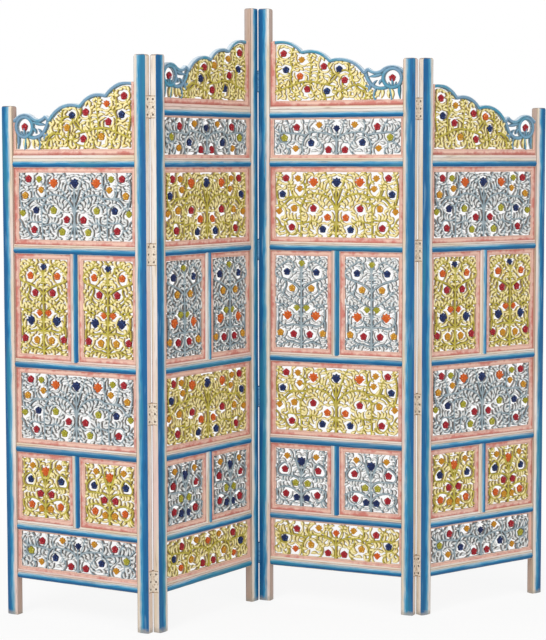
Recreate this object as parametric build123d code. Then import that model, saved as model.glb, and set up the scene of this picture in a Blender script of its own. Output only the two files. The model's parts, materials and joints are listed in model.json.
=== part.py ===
"""Carved jali folding screen: four arched panels, hinged in a zig-zag.

Each panel is built in its own frame: X runs along the panel from its left edge, Y from the front
towards the back, and Z up from the floor. The panels are then turned and chained hinge pin to
hinge pin, and the whole screen is centred on the floor with its front facing -Y.
All sizes are in millimetres and all angles in degrees.
"""
from build123d import *
import math
import os

# ---- the screen as it stands -------------------------------------------------------------
panel_width = 512.0
post_height_outer = 1530.0      # posts at the two free ends
post_height_mid = 1669.0        # the four posts at the outer folds
post_height_centre = 1829.0     # the two posts at the middle fold
headings = (-32.0, 54.5, -27.0, 36.0)   # the way each panel runs, seen from above

# ---- posts -------------------------------------------------------------------------------
post_width = 38.0
post_depth = 26.0
post_bulge = 3.0                # how far the rounded front stands out from the square sides
post_end_round = 7.0

# ---- rails and muntins -------------------------------------------------------------------
rail_height = 28.0
top_rail_height = 36.0
rail_front = 2.5                # crown of the rail behind the crown of the post
rail_bulge = 6.5
rail_back = 24.0
rail_housing = 12.0             # how far the moulded rail is let into the post
tenon_length = 18.0
tenon_height = 15.0
muntin_width = 28.0
muntin_tenon_length = 10.0
muntin_tenon_width = 16.0

# ---- heights of the openings, from the floor up ------------------------------------------
leg_height = 113.0
short_opening = 120.0
small_opening = 208.0
large_opening = 227.0
tall_opening = 313.0

# ---- carved jali panels ------------------------------------------------------------------
jali_thickness = 12.0
jali_tongue = 5.0               # edge of the panel that is held in the grooves
groove_play = 0.4               # room left at the bottom of each groove
border_width = 15.0             # plain margin that shows round the carving
crest_height_outer = 206.0      # at a crest's high end
crest_height_inner = 196.0
crest_margin = 21.0             # plain margin along the foot of a crest
crest_rim = 11.0                # carved band that follows the scalloped top
vine_width = 7.0
branch_width = 6.0
flower_radius = 9.5
rosette_radius = 32.0
crest_tail_width = 9.0          # of the band that curls in under the low end's scroll

# ---- hinges ------------------------------------------------------------------------------
leaf_height = 64.0
leaf_width = 19.0               # from the pin to the leaf's free edge
leaf_thickness = 1.5
leaf_recess = 1.0               # how deep each leaf is let into the side of its post
leaf_recess_play = 0.2          # round the edges of a leaf in its recess
leaf_play = 0.4                 # between the two leaves when they lie flat on each other
knuckle_radius = 3.0
knuckle_count = 5
knuckle_play = 0.3
pin_radius = 1.3
pin_fit = 0.05
pin_head_radius = 2.4
pin_head_height = 1.2
back_pin_offset = 0.4           # pin behind the backs of the posts, at the outer folds
front_pin_depth = 2.0           # pin behind the crowns of the posts, at the middle fold
outer_hinge_heights = (150.0, 640.0, 1100.0, 1520.0)
centre_hinge_heights = (150.0, 640.0, 1095.0, 1609.0)
screw_length = 14.0
screw_radius = 1.6
screw_head_radius = 3.2
screw_head_height = 1.4
screw_pitch = 22.0
screw_fit = 0.05

# ---- worked out from the above -----------------------------------------------------------
clear_width = panel_width - 2 * post_width
jali_front = rail_front + rail_bulge
jali_back = jali_front + jali_thickness
groove_depth = jali_tongue + groove_play
pair_width = (clear_width - muntin_width) / 2
half_gap = leaf_thickness - leaf_recess + leaf_play / 2

# Bottom edge of each rail: G is the lowest, A the highest of an outer panel, T of an inner one.
rail_foot = {"G": leg_height}
for name, below, opening in (
    ("F", "G", short_opening),
    ("E", "F", small_opening),
    ("D", "E", large_opening),
    ("C", "D", tall_opening),
    ("A", "C", large_opening),
    ("T", "A", short_opening),
):
    rail_foot[name] = rail_foot[below] + rail_height + opening


# ---- carving patterns --------------------------------------------------------------------
# A stem is its first direction and the points that it flows through, in arcs that join
# smoothly. Patterns are drawn from the middle of their opening, and stems and flowers to the
# right of the middle are mirrored. A crest is drawn from the middle of its foot. Each pattern
# says the size of the opening that it is drawn for, and is stretched to fit any other.
LARGE = {
    "drawn_for": (432, 227),
    "middle": [(90, (0, -100), (0, 60))],
    "stems": [
        (85, (2, -22), (30, 22), (72, 34), (108, 14), (118, -30), (117, -100)),
        (0, (100, 24), (138, 22), (168, 6), (190, -12)),
    ],
    "branches": [
        (95, (30, 22), (40, 44), (71, 60)),
        (0, (102, 46), (117, 47)),
        (60, (96, 28), (104, 52), (127, 72)),
        (40, (138, 22), (150, 50), (166, 72)),
        (20, (138, 22), (158, 22), (178, 28)),
        (200, (112, 6), (94, 6), (80, -6)),
        (-40, (116, 0), (128, -2), (138, -8)),
        (-10, (118, -46), (152, -46), (172, -68), (150, -92), (128, -80)),
        (20, (128, -80), (142, -74)),
        (170, (117, -58), (84, -50), (52, -68)),
        (50, (0, -62), (14, -50), (24, -44)),
        (-70, (2, -50), (12, -80), (32, -100)),
        (-20, (172, -68), (190, -58), (203, -40)),
        (70, (188, -10), (198, 32), (184, 100)),
        (70, (4, 14), (20, 58), (40, 100)),
        (-60, (84, -50), (92, -76), (80, -100)),
        (120, (104, 52), (100, 78), (84, 100)),
    ],
    "flowers": [(0, 66), (168, 80), (129, 78), (76, 66), (180, 31), (122, 47), (77, -12),
                (141, -12), (191, -22), (30, -39), (149, -70), (46, -75)],
}
TALL = {
    "drawn_for": (202, 313),
    "middle": [(90, (0, -142), (0, 108))],
    "stems": [
        (50, (0, 36), (36, 62), (74, 74), (80, 104), (48, 124), (26, 104)),
        (30, (0, -76), (40, -72), (76, -52), (76, -20), (46, -12)),
    ],
    "branches": [
        (-30, (26, 104), (42, 92)),
        (40, (0, 10), (20, 22), (30, 34)),
        (20, (0, -14), (42, 10), (89, 52)),
        (95, (60, 24), (54, 44), (64, 72)),
        (75, (0, -54), (10, -28)),
        (40, (0, -70), (24, -54), (40, -46)),
        (60, (0, -128), (16, -116), (24, -106)),
        (20, (0, -132), (40, -122), (66, -102)),
        (-80, (78, -60), (78, -90), (89, -128)),
        (-40, (40, -122), (56, -128), (72, -142)),
        (110, (8, 70), (-2, 96), (14, 142)),
        (60, (74, 74), (89, 88)),
        (120, (50, 124), (44, 142)),
        (-60, (46, -12), (62, -14), (89, -4)),
    ],
    "flowers": [(0, 117), (49, 92), (32, 42), (16, -19), (47, -43), (71, -95), (27, -99)],
}
SMALL = {
    "drawn_for": (202, 208),
    "middle": [(90, (0, -90), (0, 44))],
    "stems": [
        (60, (0, -14), (30, 4), (66, 4), (80, 26), (60, 44), (46, 30), (54, 24)),
        (60, (0, -58), (34, -32), (72, -34), (80, -58), (54, -74)),
    ],
    "branches": [
        (60, (0, 8), (18, 48), (42, 62)),
        (75, (0, -40), (14, -22)),
        (80, (0, -80), (12, -68)),
        (100, (76, 42), (78, 64), (60, 90)),
        (60, (80, 24), (89, 30)),
        (90, (54, -74), (50, -60)),
        (-60, (76, -68), (89, -80)),
        (0, (0, -66), (30, -76), (40, -90)),
        (60, (6, 30), (18, 66), (22, 90)),
        (-60, (72, -34), (89, -14)),
    ],
    "flowers": [(0, 49), (49, 65), (56, 24), (20, -17), (53, -52), (17, -62)],
}
SHORT = {
    "drawn_for": (432, 120),
    "middle": [(90, (0, -46), (0, 22))],
    "stems": [
        (70, (0, -14), (30, 12), (74, 18), (106, 0), (112, -24), (108, -46)),
        (10, (100, 8), (146, 14), (176, 16), (186, -6), (166, -16)),
    ],
    "branches": [
        (60, (30, 12), (44, 26), (56, 34)),
        (60, (118, 10), (130, 28)),
        (70, (166, -16), (172, -4)),
        (-60, (112, -20), (128, -30)),
        (40, (0, -46), (22, -40)),
        (-60, (84, 17), (86, -8)),
        (40, (180, 12), (203, 34)),
        (-40, (184, -12), (203, -30)),
        (-70, (166, -16), (160, -34), (166, -46)),
        (80, (146, 14), (152, 30), (166, 46)),
        (-70, (60, 16), (52, -14), (62, -46)),
        (70, (88, 16), (92, 32), (84, 46)),
        (80, (10, 0), (18, 26), (28, 46)),
    ],
    "flowers": [(0, 27), (132, 35), (58, 41), (173, 0), (84, -15), (136, -33), (27, -36)],
}
CREST = {
    "drawn_for": (432, 206),
    "middle": [],
    "stems": [
        (160, (204, 46), (132, 72), (58, 72), (0, 96), (-52, 86), (-84, 46), (-70, 18)),
    ],
    "branches": [
        (190, (58, 72), (10, 62), (8, 32), (40, 28)),
        (250, (112, 76), (98, 60)),
        (100, (62, 72), (60, 100), (46, 118)),
        (130, (20, 86), (-4, 108)),
        (100, (132, 72), (124, 88)),
        (70, (148, 68), (150, 110), (120, 140)),
        (60, (150, 94), (164, 108)),
        (70, (186, 54), (200, 110), (180, 162)),
        (250, (-6, 96), (-22, 86)),
        (200, (8, 48), (-40, 56), (-96, 18)),
        (200, (-68, 68), (-96, 54), (-114, 18)),
        (-80, (-20, 84), (-22, 50), (-10, 18)),
        (-60, (84, 74), (76, 44), (84, 18)),
        (-70, (148, 68), (140, 44), (150, 18)),
        (-90, (40, 44), (36, 18)),
        (90, (88, 76), (84, 120), (92, 168)),
        (110, (16, 90), (22, 116), (14, 142)),
        (120, (-40, 92), (-44, 112), (-38, 138)),
        (60, (146, 124), (150, 160), (140, 190)),
    ],
    "flowers": [(-8, 115), (42, 124), (116, 146), (176, 168), (168, 116), (121, 95), (-26, 80),
                (32, 47), (97, 53)],
    # The edge band runs down and curls in under a scroll round one flower at the crest's low end.
    "tail": (-100, (-92, 106), (-106, 72), (-134, 53), (-164, 56)),
    "scroll_centre": (-180, 84),
    "scroll_ties": [(-10, (-151, 98), (-124, 93), (-101, 90)),
                    (-100, (-172, 54), (-178, 18)), (-80, (-146, 52), (-142, 18)),
                    (180, (-208, 94), (-216, 96)), (180, (-206, 62), (-216, 58)),
                    (80, (-182, 108), (-180, 120)), (-150, (-106, 72), (-96, 62))],
    # Top edge from the low end to the high end: each arc is a point on it and its end point.
    "edge_start": (-216, 108),
    "edge": [((-183, 124), (-148, 115)), ((-127, 107), (-106, 117)), ((-98, 116), (-90, 109)),
             ((-60, 137), (20, 147)), ((54, 172), (112, 176)), ((146, 202), (216, 206))],
}


def stretched(pattern, width, height):
    """The pattern with its points moved to suit an opening of another size."""
    across, up = width / pattern["drawn_for"][0], height / pattern["drawn_for"][1]

    def moved(item):
        if isinstance(item[0], (tuple, list)):
            return [moved(one) for one in item]
        if isinstance(item[1], tuple):
            angle = math.radians(item[0])
            heading = math.degrees(math.atan2(math.sin(angle) * up, math.cos(angle) * across))
            return (heading, *(moved(point) for point in item[1:]))
        return (item[0] * across, item[1] * up)

    return {part: moved(drawn) if drawn and part != "drawn_for" else drawn
            for part, drawn in pattern.items()}


def band(start, end, direction, width):
    """A strip of the given width along the arc that leaves start in a direction, and its end heading."""
    start, end = Vector(*start), Vector(*end)
    middle_line = TangentArc(start, end, tangent=direction)
    centre, radius = middle_line.arc_center, middle_line.radius
    sides = []
    for reach in (radius - width / 2, radius + width / 2):
        sides.append([centre + (at - centre) * (reach / radius)
                      for at in (start, middle_line @ 0.5, end)])
    inner, outer = sides
    outline = [ThreePointArc(*inner), Line(inner[2], outer[2]), ThreePointArc(*outer),
               Line(outer[0], inner[0])]
    return make_face(Wire(outline)), middle_line % 1


def straight_band(start, end, width):
    """A strip of the given width along a straight line."""
    along = (Vector(*end) - Vector(*start)).normalized()
    side = Vector(-along.Y, along.X) * (width / 2)
    return make_face(Polyline(Vector(*start) + side, Vector(*end) + side, Vector(*end) - side,
                              Vector(*start) - side, close=True)), along


def strips(stem, width):
    """The strips that make one stem."""
    angle, *points = stem
    direction = Vector(math.cos(math.radians(angle)), math.sin(math.radians(angle)))
    faces = []
    for start, end in zip(points, points[1:]):
        chord = Vector(*end) - Vector(*start)
        if abs(chord.normalized().cross(direction).Z) < 0.01:
            face, direction = straight_band(start, end, width)
        else:
            face, direction = band(start, end, direction, width)
        faces.append(face)
    return faces


def disc(at, radius):
    return Pos(*at) * Circle(radius)


def vine(pattern, mirrored):
    """All strips and flowers of a pattern, as a list of flat shapes."""
    right = []
    for stem in pattern["stems"]:
        right += strips(stem, vine_width)
    for stem in pattern["branches"]:
        right += strips(stem, branch_width)
    right += [disc(at, flower_radius) for at in pattern["flowers"]]
    shapes = list(right)
    for stem in pattern["middle"]:
        shapes += strips(stem, vine_width)
    if mirrored:
        shapes += [mirror(shape, Plane.YZ) for shape in right]
    return shapes


def raised(flat, thickness, front):
    """A flat shape drawn in X and up, made solid from its front face backwards."""
    return extrude(Plane((0, front + thickness, 0), x_dir=(1, 0, 0), z_dir=(0, -1, 0)) * flat, thickness)


def carved_panel(pattern, width, height):
    """A rectangular jali panel, centred on its opening."""
    pattern = stretched(pattern, width, height)
    blank = Rectangle(width + 2 * jali_tongue, height + 2 * jali_tongue)
    window = Rectangle(width - 2 * border_width, height - 2 * border_width)
    field = Rectangle(width - border_width, height - border_width)
    carving = Sketch() + vine(pattern, True)
    return raised((blank - window) + (carving & field), jali_thickness, jali_front)


def crest_edge(pattern, drop):
    """The scalloped top edge as arcs, lowered by drop."""
    here = Vector(*pattern["edge_start"]) - Vector(0, drop)
    arcs = []
    for through, end in pattern["edge"]:
        through = Vector(*through) - Vector(0, drop)
        end = Vector(*end) - Vector(0, drop)
        arcs.append(ThreePointArc(here, through, end))
        here = end
    return arcs


def crest_outline(pattern, drop, side, foot):
    """The face under the top edge, down to foot and out to side."""
    arcs = crest_edge(pattern, drop)
    low, high = arcs[0] @ 0, arcs[-1] @ 1
    lines = [Line((low.X, foot), low), *arcs, Line(high, (high.X, foot)),
             Line((high.X, foot), (low.X, foot))]
    return make_face(Wire(lines)) & Rectangle(2 * side, 4 * high.Y)


def carved_crest(pattern, height):
    """A crest, drawn from the middle of its foot, low at its left and high at its right."""
    half = clear_width / 2
    pattern = stretched(pattern, clear_width, height)
    body = crest_outline(pattern, 0, half, 0)
    low = pattern["edge_start"][1]
    tongues = [Pos(0, -jali_tongue / 2) * Rectangle(clear_width, jali_tongue)]
    for side, top in ((-1, low), (1, height)):
        tongues.append(Pos(side * (half + jali_tongue / 2), (top - jali_tongue) / 2)
                       * Rectangle(jali_tongue, top + jali_tongue))
    window = crest_outline(pattern, crest_rim, half - border_width, crest_margin)
    centre = pattern["scroll_centre"]
    ring = disc(centre, rosette_radius) - disc(centre, rosette_radius - vine_width)
    ties = strips(pattern["tail"], crest_tail_width)
    for stem in pattern["scroll_ties"]:
        ties += strips(stem, branch_width)
    ring_foot = (centre[0], centre[1] - rosette_radius + vine_width / 2)
    flower_stalk = strips((90, ring_foot, centre), branch_width)
    scroll = [ring, disc(centre, flower_radius), *flower_stalk, *ties]
    carving = Sketch() + (vine(pattern, False) + scroll)
    return raised((body - window + tongues) + (carving & body), jali_thickness, jali_front)


def moulded_bar(width, bulge, depth):
    """Section of a bar with a rounded front and a flat back, in X and Y, front crown at the origin."""
    half = width / 2
    outline = [ThreePointArc((-half, bulge), (0, 0), (half, bulge)), Line((half, bulge), (half, depth)),
               Line((half, depth), (-half, depth)), Line((-half, depth), (-half, bulge))]
    return make_face(Wire(outline))


def box(x0, x1, y0, y1, z0, z1):
    return Pos((x0 + x1) / 2, (y0 + y1) / 2, (z0 + z1) / 2) * Box(x1 - x0, y1 - y0, z1 - z0)


def rail(foot, height, grooves):
    """One rail, housed in both posts, with a tenon at each end and a groove in its edges."""
    length = clear_width + 2 * rail_housing
    middle = foot + height / 2
    section = moulded_bar(height, rail_bulge, rail_back - rail_front)
    upright = Plane((post_width - rail_housing, rail_front, middle), x_dir=(0, 0, 1), z_dir=(1, 0, 0))
    bar = extrude(upright * mirror(section, Plane.XZ), length)
    bar += box(post_width - tenon_length, panel_width - post_width + tenon_length,
               jali_front, jali_back, middle - tenon_height / 2, middle + tenon_height / 2)
    for edge in grooves:
        bottom, top = sorted((edge, edge + (groove_depth if edge == foot else -groove_depth)))
        bar -= box(post_width - rail_housing, panel_width - post_width + rail_housing,
                   jali_front, jali_back, bottom, top)
    return bar


def muntin(foot, height):
    """The upright between a pair of small panels, tenoned into the rails above and below."""
    section = Pos(panel_width / 2, rail_front) * moulded_bar(muntin_width, rail_bulge,
                                                               rail_back - rail_front)
    bar = Pos(0, 0, foot) * extrude(section, height)
    half = muntin_width / 2
    for side in (-1, 1):
        x0, x1 = sorted((panel_width / 2 + side * half, panel_width / 2 + side * (half - groove_depth)))
        bar -= box(x0, x1, jali_front, jali_back, foot, foot + height)
    reach = muntin_tenon_width / 2
    bar += box(panel_width / 2 - reach, panel_width / 2 + reach, jali_front, jali_back,
               foot - muntin_tenon_length, foot + height + muntin_tenon_length)
    return bar


def post(left_edge, height, groove_side, groove_foot, groove_top):
    """One post: rounded front, rounded top, and a groove for the jali panels on its inner side."""
    middle = left_edge + post_width / 2
    section = Pos(middle, 0) * moulded_bar(post_width, post_bulge, post_depth)
    front_view = Pos(middle, height / 2) * RectangleRounded(post_width, height, post_end_round)
    foot_view = Pos(middle, height / 4) * Rectangle(post_width, height / 2)
    shape = extrude(section, height) & raised(Sketch() + [front_view, foot_view], post_depth, 0)
    inner = middle + groove_side * post_width / 2
    x0, x1 = sorted((inner, inner - groove_side * groove_depth))
    return shape - box(x0, x1, jali_front, jali_back, groove_foot, groove_top)


# ---- hinges ------------------------------------------------------------------------------
def cylinder_up(x, y, z0, z1, radius):
    return Pos(x, y, (z0 + z1) / 2) * Cylinder(radius, z1 - z0)


def knuckle_span(index, middle):
    """Bottom and top of one knuckle of a hinge."""
    pitch = leaf_height / knuckle_count
    foot = middle - leaf_height / 2 + index * pitch
    return foot + knuckle_play / 2, foot + pitch - knuckle_play / 2


def hinge_leaf(edge, outward, pin_y, inboard, middle, first):
    """A leaf let into the side of a post, with every other knuckle round the pin.

    edge is the side of the post, outward points away from it along X, and inboard points from the
    pin to the middle of the post along Y. first is 0 or 1: the lowest knuckle that this leaf has.
    """
    pin_x = edge + outward * half_gap
    z0, z1 = middle - leaf_height / 2, middle + leaf_height / 2
    seat = edge - outward * leaf_recess
    x0, x1 = sorted((seat, seat + outward * leaf_thickness))
    y0, y1 = sorted((pin_y, pin_y + inboard * leaf_width))
    leaf = box(x0, x1, y0, y1, z0, z1)
    for index in range(knuckle_count):
        low, high = knuckle_span(index, middle)
        if index % 2 == first:
            leaf += cylinder_up(pin_x, pin_y, low, high, knuckle_radius)
        else:
            leaf -= cylinder_up(pin_x, pin_y, low - knuckle_play, high + knuckle_play,
                                knuckle_radius + knuckle_play)
    leaf -= cylinder_up(pin_x, pin_y, z0, z1, pin_radius + pin_fit)
    for screw in hinge_screws(edge, outward, pin_y, inboard, middle, screw_fit):
        leaf -= screw
    return leaf


def hinge_screws(edge, outward, pin_y, inboard, middle, grown=0.0):
    """The countersunk screws of one leaf; grown by a fit they are the holes for them."""
    at_y = pin_y + inboard * (leaf_width + knuckle_radius) / 2
    turn = Rot(0, 90 * outward, 0)
    screws = []
    for step in (-1, 0, 1):
        profile = [(0, -screw_length - grown), (screw_radius + grown, -screw_length - grown),
                   (screw_radius + grown, leaf_thickness - screw_head_height),
                   (screw_head_radius + grown, leaf_thickness), (0, leaf_thickness)]
        turned = revolve(Plane.XZ * make_face(Polyline(*profile, close=True)), Axis.Z)
        screws.append(Pos(edge - outward * leaf_recess, at_y, middle + step * screw_pitch) * turn * turned)
    return screws


def hinge_recess(edge, outward, pin_y, inboard, middle):
    """What is cut from a post for a leaf, its knuckles and the heads of the pin."""
    reach = leaf_height / 2 + pin_head_height + knuckle_play
    recess = cylinder_up(edge + outward * half_gap, pin_y, middle - reach, middle + reach,
                         knuckle_radius + knuckle_play)
    x0, x1 = sorted((edge - outward * leaf_recess, edge + outward * half_gap))
    y0, y1 = sorted((pin_y - inboard * leaf_recess_play, pin_y + inboard * (leaf_width + leaf_recess_play)))
    half_height = leaf_height / 2 + leaf_recess_play
    return recess + box(x0, x1, y0, y1, middle - half_height, middle + half_height)


def hinge_pin(pin_x, pin_y, middle):
    """A headed pin."""
    z0, z1 = middle - leaf_height / 2, middle + leaf_height / 2
    return (cylinder_up(pin_x, pin_y, z0, z1 + pin_head_height, pin_radius)
            + cylinder_up(pin_x, pin_y, z1, z1 + pin_head_height, pin_head_radius)
            + cylinder_up(pin_x, pin_y, z0 - pin_head_height, z0, pin_head_radius))


# ---- the carved panels, made once each ---------------------------------------------------
large_jali = carved_panel(LARGE, clear_width, large_opening)
tall_jali = carved_panel(TALL, pair_width, tall_opening)
small_jali = carved_panel(SMALL, pair_width, small_opening)
short_jali = carved_panel(SHORT, clear_width, short_opening)
crests = {}
for tall_panel, height in ((False, crest_height_outer), (True, crest_height_inner)):
    rising = carved_crest(CREST, height)
    crests[tall_panel] = (height, stretched(CREST, clear_width, height)["edge_start"][1],
                          {True: rising, False: mirror(rising, Plane.YZ)})


def build_panel(number, left_height, right_height, tall_panel, rises):
    """All the wooden pieces of one panel, by name, in the panel's own frame."""
    rails = {name: rail(rail_foot[name], rail_height, (rail_foot[name], rail_foot[name] + rail_height))
             for name in "FEDC"}
    rails["G"] = rail(rail_foot["G"], rail_height, (rail_foot["G"] + rail_height,))
    if tall_panel:
        rails["A"] = rail(rail_foot["A"], rail_height, (rail_foot["A"], rail_foot["A"] + rail_height))
        top = "T"
    else:
        top = "A"
    crest_foot = rail_foot[top] + top_rail_height
    rails[top] = rail(rail_foot[top], top_rail_height, (rail_foot[top], crest_foot))
    muntins = [muntin(rail_foot["D"] + rail_height, tall_opening),
               muntin(rail_foot["F"] + rail_height, small_opening)]
    for name in "FEDC":
        for upright in muntins:
            rails[name] -= upright

    groove_foot = rail_foot["G"] + rail_height - groove_depth
    crest_high, crest_low, crest = crests[tall_panel]
    left_end, right_end = (crest_low, crest_high) if rises else (crest_high, crest_low)
    left = post(0, left_height, 1, groove_foot, crest_foot + left_end)
    right = post(panel_width - post_width, right_height, -1, groove_foot, crest_foot + right_end)
    for bar in rails.values():
        left -= bar
        right -= bar

    middle = panel_width / 2
    pair = (post_width + pair_width / 2, panel_width - post_width - pair_width / 2)

    def above(name, opening):
        return rail_foot[name] + rail_height + opening / 2

    pieces = {
        "left_post": [left],
        "right_post": [right],
        "rails": [bar for name, bar in rails.items() if name != top],
        "top_rail": [rails[top]],
        "muntins": muntins,
        "crest_jali": [Pos(middle, 0, crest_foot) * crest[rises]],
        "upper_jali": [Pos(middle, 0, above("C", large_opening)) * large_jali],
        "tall_jalis": [Pos(x, 0, above("D", tall_opening)) * tall_jali for x in pair],
        "middle_jali": [Pos(middle, 0, above("E", large_opening)) * large_jali],
        "small_jalis": [Pos(x, 0, above("F", small_opening)) * small_jali for x in pair],
        "bottom_jali": [Pos(middle, 0, above("G", short_opening)) * short_jali],
    }
    if tall_panel:
        pieces["top_jali"] = [Pos(middle, 0, above("A", short_opening)) * short_jali]
    return {f"panel_{number}_{name}": solids for name, solids in pieces.items()}


panels = {
    1: build_panel(1, post_height_outer, post_height_mid, False, True),
    2: build_panel(2, post_height_mid, post_height_centre, True, True),
    3: build_panel(3, post_height_centre, post_height_mid, True, False),
    4: build_panel(4, post_height_mid, post_height_outer, False, False),
}

# Each fold: the panels it joins, the depth of its pin, which way the leaves reach, and heights.
folds = (
    (1, 2, post_depth + back_pin_offset, -1, outer_hinge_heights),
    (2, 3, front_pin_depth, 1, centre_hinge_heights),
    (3, 4, post_depth + back_pin_offset, -1, outer_hinge_heights),
)
for left_panel, right_panel, pin_y, inboard, heights in folds:
    fold = f"fold_{left_panel}{right_panel}"
    for number, side, edge, outward, first in (
        (left_panel, "left", panel_width, 1, 0),
        (right_panel, "right", 0.0, -1, 1),
    ):
        pieces = panels[number]
        pieces[f"{fold}_{side}_leaves"] = [
            hinge_leaf(edge, outward, pin_y, inboard, middle, first) for middle in heights]
        screws = [screw for middle in heights
                  for screw in hinge_screws(edge, outward, pin_y, inboard, middle)]
        pieces.setdefault(f"panel_{number}_screws", []).extend(screws)
        post_name = f"panel_{number}_{'right' if side == 'left' else 'left'}_post"
        for middle in heights:
            for hole in hinge_screws(edge, outward, pin_y, inboard, middle, screw_fit):
                pieces[post_name][0] -= hole
            pieces[post_name][0] -= hinge_recess(edge, outward, pin_y, inboard, middle)
    panels[left_panel][f"{fold}_pins"] = [
        hinge_pin(panel_width + half_gap, pin_y, middle) for middle in heights]


# ---- chain the panels at their pins and centre the screen --------------------------------
def place(heading, local, world):
    """Where a panel goes so that a point of its own frame lands on a point of the floor."""
    turn = Rot(0, 0, heading)
    reached = (turn * Pos(*local)).position
    return Pos(world.X - reached.X, world.Y - reached.Y, 0) * turn


places = {1: Rot(0, 0, headings[0])}
pins = {}
for left_panel, right_panel, pin_y, _, _ in folds:
    pin = (places[left_panel] * Pos(panel_width + half_gap, pin_y, 0)).position
    pins[left_panel] = pin
    places[right_panel] = place(headings[right_panel - 1], (-half_gap, pin_y, 0), pin)

standing = {name: [places[number] * solid for solid in solids]
            for number, pieces in panels.items() for name, solids in pieces.items()}
extent = Compound([solid for solids in standing.values() for solid in solids]).bounding_box()
centring = Pos(-extent.center().X, -extent.center().Y, -extent.min.Z)

os.makedirs("parts", exist_ok=True)
for name, solids in standing.items():
    moved = [centring * solid for solid in solids]
    export_step(Compound(moved) if len(moved) > 1 else moved[0], f"parts/{name}.step")
for left_panel, pin in pins.items():
    at = centring * Pos(pin.X, pin.Y, 0)
    print(f"pin of fold {left_panel}{left_panel + 1}: x {at.position.X:.3f} y {at.position.Y:.3f}")
for number, at in places.items():
    origin = (centring * at).position
    print(f"panel {number}: origin x {origin.X:.3f} y {origin.Y:.3f} heading {headings[number - 1]}")
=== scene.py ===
"""A carved jali folding screen: four arched panels of painted wood, hinged in a zig-zag.

Each panel is a mortised frame of two posts and several moulded rails, which hold pierced and
carved panels in their grooves. A piece is made in its panel's own frame, in which X runs along
the panel from its left edge, Y from its front to its back and Z up from the floor, and its
object carries the place where that panel stands.
"""
import bpy
import json
import math
import numpy as np
import random
from mathutils import Matrix, Vector


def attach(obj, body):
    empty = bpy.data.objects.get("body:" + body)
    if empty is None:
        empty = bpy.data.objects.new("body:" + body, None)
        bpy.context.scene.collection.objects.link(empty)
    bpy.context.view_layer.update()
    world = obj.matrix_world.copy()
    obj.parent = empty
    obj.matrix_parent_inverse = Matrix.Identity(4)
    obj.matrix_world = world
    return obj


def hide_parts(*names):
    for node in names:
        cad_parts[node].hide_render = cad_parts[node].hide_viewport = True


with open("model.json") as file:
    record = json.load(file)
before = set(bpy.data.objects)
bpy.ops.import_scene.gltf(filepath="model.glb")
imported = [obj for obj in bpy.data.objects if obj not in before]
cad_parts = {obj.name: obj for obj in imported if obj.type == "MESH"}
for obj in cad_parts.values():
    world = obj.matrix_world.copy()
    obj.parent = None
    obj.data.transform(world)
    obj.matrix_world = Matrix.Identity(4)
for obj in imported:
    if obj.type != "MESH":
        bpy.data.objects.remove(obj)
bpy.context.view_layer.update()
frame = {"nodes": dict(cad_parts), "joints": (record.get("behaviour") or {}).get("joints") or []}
MM = 0.001

# ==== Posts ===============================================================================
# Two hardwood posts to a panel, flat at the sides and the back, rounded on the front and at the
# top, and taller towards the middle of the screen. Planed and painted by hand: blue distemper
# on the outer half, limewash on the inner half and the sides.
PANEL_WIDTH = 512 * MM
POST_WIDTH = 38 * MM
POST_DEPTH = 26 * MM
POST_BULGE = 3 * MM             # how far the rounded front rises over its sides
POST_TOP_ROUND = 7 * MM
ARRIS = 1.2 * MM
POST_HEIGHTS = {1: (1530 * MM, 1669 * MM), 2: (1669 * MM, 1829 * MM),
                3: (1829 * MM, 1669 * MM), 4: (1669 * MM, 1530 * MM)}
BLUES = [(0.0, "#AFCBD6"), (0.25, "#9AB4C1"), (0.25, "#6CAAC8"), (0.5, "#1F80AE"), (0.75, "#0A5C90")]
LIMEWASH, CREAM, ROSE_WASH, BARE_WOOD = "#E6DFD8", "#DDCCB4", "#E2C8BF", "#8E6C58"

# Each panel turns about a hinge pin that stands a little off its post. The pins of the outer
# folds are at the backs of the posts, and that of the middle fold is just behind their crowns.
HEADINGS = {1: -32.0, 2: 54.5, 3: -27.0, 4: 36.0}
PIN_BESIDE = 0.7 * MM
PIN_DEPTH = 26.4 * MM
HUNG_ON = {1: ("fold_12", PANEL_WIDTH + PIN_BESIDE), 2: ("fold_12", -PIN_BESIDE),
           3: ("fold_34", PANEL_WIDTH + PIN_BESIDE), 4: ("fold_34", -PIN_BESIDE)}
pins = {joint["name"]: joint["pos_m"] for joint in frame["joints"]}
stands = {}
for number, (fold, pin_along) in HUNG_ON.items():
    turn = Matrix.Rotation(math.radians(HEADINGS[number]), 4, "Z")
    pin_x, pin_y, _ = pins[fold]
    stands[number] = Matrix.Translation((pin_x, pin_y, 0)) @ turn @ Matrix.Translation(
        (-pin_along, -PIN_DEPTH, 0))


def linear(code):
    """A colour written as sRGB hex, in the linear values that materials work in."""
    values = [int(code[start:start + 2], 16) / 255 for start in (1, 3, 5)]
    return (*(v / 12.92 if v <= 0.04045 else ((v + 0.055) / 1.055) ** 2.4 for v in values), 1.0)


def add(material, kind, inputs=None, stops=(), out=0, **settings):
    """Adds a shader node to a material, with its settings, its values or links, and its ramp.

    The stops of a ramp go from low to high, and two at one place are a step. Returns one of the
    node's outputs, or all of them if out is None.
    """
    made = material.node_tree.nodes.new("ShaderNode" + kind)
    for key, value in settings.items():
        setattr(made, key, value)
    for key, value in (inputs or {}).items():
        if isinstance(value, bpy.types.NodeSocket):
            material.node_tree.links.new(value, made.inputs[key])
        else:
            made.inputs[key].default_value = linear(value) if isinstance(value, str) else value
    for _ in stops[2:]:
        made.color_ramp.elements.new(1.0)
    for index, (at, colour) in enumerate(stops):
        made.color_ramp.elements[index].position = at
        made.color_ramp.elements[index].color = linear(colour)
    return made.outputs if out is None else made.outputs[out]


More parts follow.
